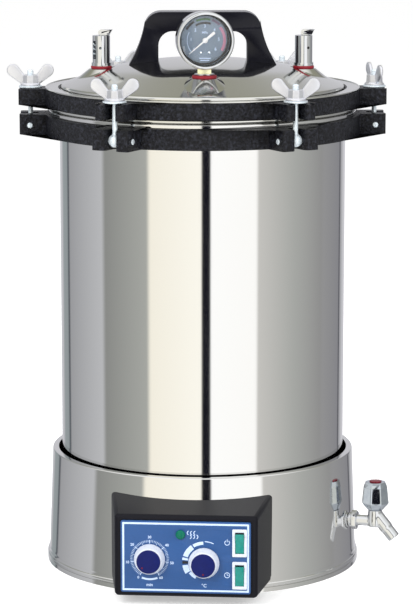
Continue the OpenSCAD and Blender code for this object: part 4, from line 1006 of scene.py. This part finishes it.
def signs(look):
    # Plain signs: three warm waves by the lamp, a power ring and a clock by the switches
    x, z = look["lamp"]
    start, step, half = look["waves"]
    made = [sector(1.6, 2.3, *((200, 340) if side > 0 else (20, 160)), x + start + step * i, z + side * half)
            for i in range(3) for side in (-1, 1)]
    signX, (high, low) = look["rockerX"] - look["signIn"], look["rockerZ"]
    made += [sector(2.0, 2.6, 35, 325, signX, high), bar(0.6, 2.8, signX, high + 2.0)]
    made += [sector(2.2, 2.8, 0, 360, signX, low), bar(0.5, 1.9, signX, low + 0.9), bar(1.5, 0.5, signX + 0.7, low)]
    return made


knobLook = {"skirt": 14.9, "rim": 2.8, "mouth": 12.4, "mouthIn": 1.6, "cap": 11.6, "capIn": 0.8, "deep": 12.5,
            "gap": 0.3, "spindle": 3.0, "spindleLong": 16.0, "hub": (5, 3),
            "edges": (0.5, 0, 0.2, 0.3, 0.5, 1.6, 1.0, 0.4), "capEnds": (-1.2, 0.1), "dot": 0.9,
            "dotAt": 8.6, "dotEnds": (-0.5, 0.2)}


def addKnob(node, spot, dotTurn, look):
    place = onPanel(*spot) @ shift(z=look["gap"])
    deep, spindle, end, cap = look["deep"] - look["gap"], look["spindle"], -look["spindleLong"], look["cap"]
    hub, hollow = look["hub"]
    face = deep - look["capIn"]
    body = turnedPiece(node + "_skirt", rounded(
        [(0, end), (spindle, end), (spindle, hollow), (hub, hollow), (hub, 0), (look["skirt"], 0),
         (look["skirt"], look["rim"]), (look["mouth"], deep - look["mouthIn"]), (cap, face), (0, face)],
        [0, *look["edges"], 0], 5), 96)
    standFor(node, movePiece(body, place), "whiteAbs")
    low, high = look["capEnds"]
    top = turnedBar(node + "_cap", cap, deep + low, deep + high, (0.2, 0.6), 72, 5, crown=0.2)
    addTo(node, movePiece(top, place), "navyAbs")
    low, high = look["dotEnds"]
    dot = turnedBar(node + "_dot", look["dot"], deep + low, deep + high, (0.1, 0.1), 24, crown=0.05)
    addTo(node, movePiece(dot, place @ shift(*atClock(look["dotAt"], dotTurn))), "buttonRed")


lampLook = {"lens": 4.5, "high": 2.6, "domeAt": 0.9, "stem": 3.6, "long": 16.0, "over": 0.02}


def addLamp(look):
    lens, stem, start, over = look["lens"], look["stem"], look["domeAt"], look["over"]
    profile = [(0, -look["long"]), (stem, -look["long"]), (stem, over), (lens, over)]
    piece = turnedPiece("lamp_lens", profile + arc(0, start, lens, range(0, 91, 10), tall=look["high"] - start), 64)
    standFor("indicator_lamp", movePiece(piece, onPanel(*panelPrint["lamp"])), "greenLens")


# Tap

tapLook = {"turn": 77.5, "skirt": 154.985, "z": 48.0, "reach": 27.0, "inside": 7.0, "barrel": 5.5, "bonnet": 8.0,
           "bonnetTop": 7.0, "bonnetLow": 5.4, "bonnetHigh": 12.0, "spoutRise": 8.0, "spoutDrop": 50.0,
           "spoutLong": 31.0, "spoutTail": 13.0, "root": 6.75, "tail": 6.25, "bore": 4.65, "boreFrom": 12,
           "collar": 7.6, "collarGap": 0.3, "collarThick": 2.5, "nut": 10.0, "nutThick": 6.0, "nutEdge": 0.9,
           "voxel": 0.5, "passes": 14}
wheelLook = {"sides": 8, "turn": 26.9, "gap": 0.3, "high": 28.5, "spindle": 3.2, "cap": 6.1, "capThick": 1.2,
             "profile": [(0, 0), (8.0, 0), (14.5, 7.4), (12.7, 23.6), (10.4, 28.5), (0, 28.5)],
             "inset": 0.8, "sunk": 0.35, "round": 0.7}


def addTap(look):
    outward = atTurn(look["turn"], look["skirt"], look["z"]) @ facing
    column = atTurn(look["turn"], look["skirt"] + look["reach"], look["z"])
    spoutAxis = column @ shift(z=look["spoutRise"]) @ about(90 + look["spoutDrop"], "X")
    low, wide, top, high = -look["bonnetLow"], look["bonnet"], look["bonnetTop"], look["bonnetHigh"]
    root, tail, end = look["root"], look["tail"], look["spoutLong"]
    step = end - look["spoutTail"]
    barrel = turnedBar("barrel", look["barrel"], -look["inside"], look["reach"], (0.3, 0.3))
    bonnet = turnedPiece("bonnet", rounded([(0, low), (wide - 1, low), (wide, 0), (top, high), (0, high)],
                                           [0, 1.5, 1.5, 0.5, 0], 4), 64)
    spout = turnedPiece("spout", rounded([(0, 0), (root, 0), (root, step), (tail, step + 2), (tail, end), (0, end)],
                                         [0, 0.2, 0.5, 0.5, 0.3, 0], 3), 64)
    body = joinPieces([movePiece(barrel, outward), movePiece(bonnet, column), movePiece(spout, spoutAxis)],
                      "tap_casting")
    useModifier(body, "REMESH", mode="VOXEL", voxel_size=look["voxel"] * unit)
    useModifier(body, "SMOOTH", factor=0.5, iterations=look["passes"])
    cutPiece(body, [movePiece(turnedBar("bore", look["bore"], look["boreFrom"], end + 2, steps=48), spoutAxis)])
    gap, thick = look["collarGap"], look["collarThick"]
    collar = turnedBar("collar", look["collar"], gap, gap + thick, (0.8, 0.8), fine=4)
    nut = platePiece("nut", clockArc(look["nut"], 0, 300, 5), look["nutThick"], look["nutEdge"], 4)
    movePiece(nut, outward @ shift(z=gap + thick))
    standFor("tap_body", joinPieces([body, movePiece(collar, outward), nut], "tap_casting"), "chrome")


def addWheel(look, tap):
    place = atTurn(tap["turn"], tap["skirt"] + tap["reach"], tap["z"]) @ shift(z=tap["bonnetHigh"] + look["gap"])
    wheel = turnedPiece("wheel", look["profile"], look["sides"])
    editAll(wheel)
    bpy.ops.mesh.select_all(action="DESELECT")
    endEdit()
    lowest, highest = look["profile"][2][1], look["profile"][3][1]
    for face in wheel.data.polygons:
        face.select = lowest * unit < face.center.z < highest * unit and abs(face.normal.z) < 0.5
    bpy.ops.object.mode_set(mode="EDIT")
    bpy.ops.mesh.inset(thickness=look["inset"] * unit, depth=-look["sunk"] * unit, use_individual=True)
    endEdit()
    softenEdges(wheel, look["round"], 4, 12)
    movePiece(wheel, about(look["turn"] - tap["turn"]))
    spindle = turnedBar("spindle", look["spindle"], tap["barrel"] - tap["bonnetHigh"], 1, steps=40)
    wheel = joinPieces([wheel, spindle], "tap_wheel_cast")
    smooth(wheel)
    standFor("tap_handle", movePiece(wheel, place), "wheelChrome")
    cap = turnedBar("tap_button", look["cap"], 0, look["capThick"], (0.1, 0.6), fine=4, crown=0.2)
    standFor("tap_cap", movePiece(cap, place @ shift(z=look["high"])), "buttonRed")


# Pieces whose CAD form only needs soft edges: piece name, finish and edge
softened = {
    "safety_valve_body": ("safety_valve_turned", "chrome", 0.5),
    "release_valve_body": ("release_valve_turned", "chrome", 0.5),
    "safety_valve_lever": ("safety_lever_cast", "chrome", 0.35),
    "release_valve_lever": ("release_lever_cast", "chrome", 0.35),
    "power_rocker": ("power_rocker_cap", "greenRocker", 0.6),
    "timer_rocker": ("timer_rocker_cap", "greenRocker", 0.6),
    "switch_housings": ("switch_frames", "whiteAbs", 0.4),
    "cable_gland": ("gland_body", "blackAbs", 0.6),
    "timer_unit": ("timer_works", "greyAbs", 0.8),
    "thermostat_unit": ("thermostat_works", "greyAbs", 0.8),
    "base_plate": ("base_sheet", "sheet", 0.3),
    "lid_gasket": ("gasket_ring", "whiteRubber", 0.5),
    "base_screws": ("base_screw_heads", "zinc", 0.3),
}
# CAD nodes that are shown as they are, and their finish
plain = {
    "heater_element": "sheet", "drain_pipe": "brass", "support_rack": "sheet", "basket": "sheet",
    "basket_bail": "zinc", "handle_screws": "zinc", "safety_valve_spring": "zinc", "exhaust_hose": "sheet",
}


addGauge(gaugeLook)
addDialPrint(dialPrint)
addPointer(pointerLook)
addStem(stemLook)
print("gauge made")
addBox(boxLook, skirtLook)
addPanel(panelPrint)
addKnob("timer_knob", panelPrint["timer"], -135, knobLook)
addKnob("thermostat_knob", panelPrint["heat"], 180, knobLook)
addLamp(lampLook)
print("control box made")
addTap(tapLook)
addWheel(wheelLook, tapLook)
print("tap made")
for node, (name, finish, edge) in softened.items():
    standFor(node, softCopy(node, name, edge), finish)
for node, finish in plain.items():
    paint(frame["nodes"][node], finish)
print("remaining pieces softened and painted")

bpy.context.scene.view_settings.view_transform = "Standard"
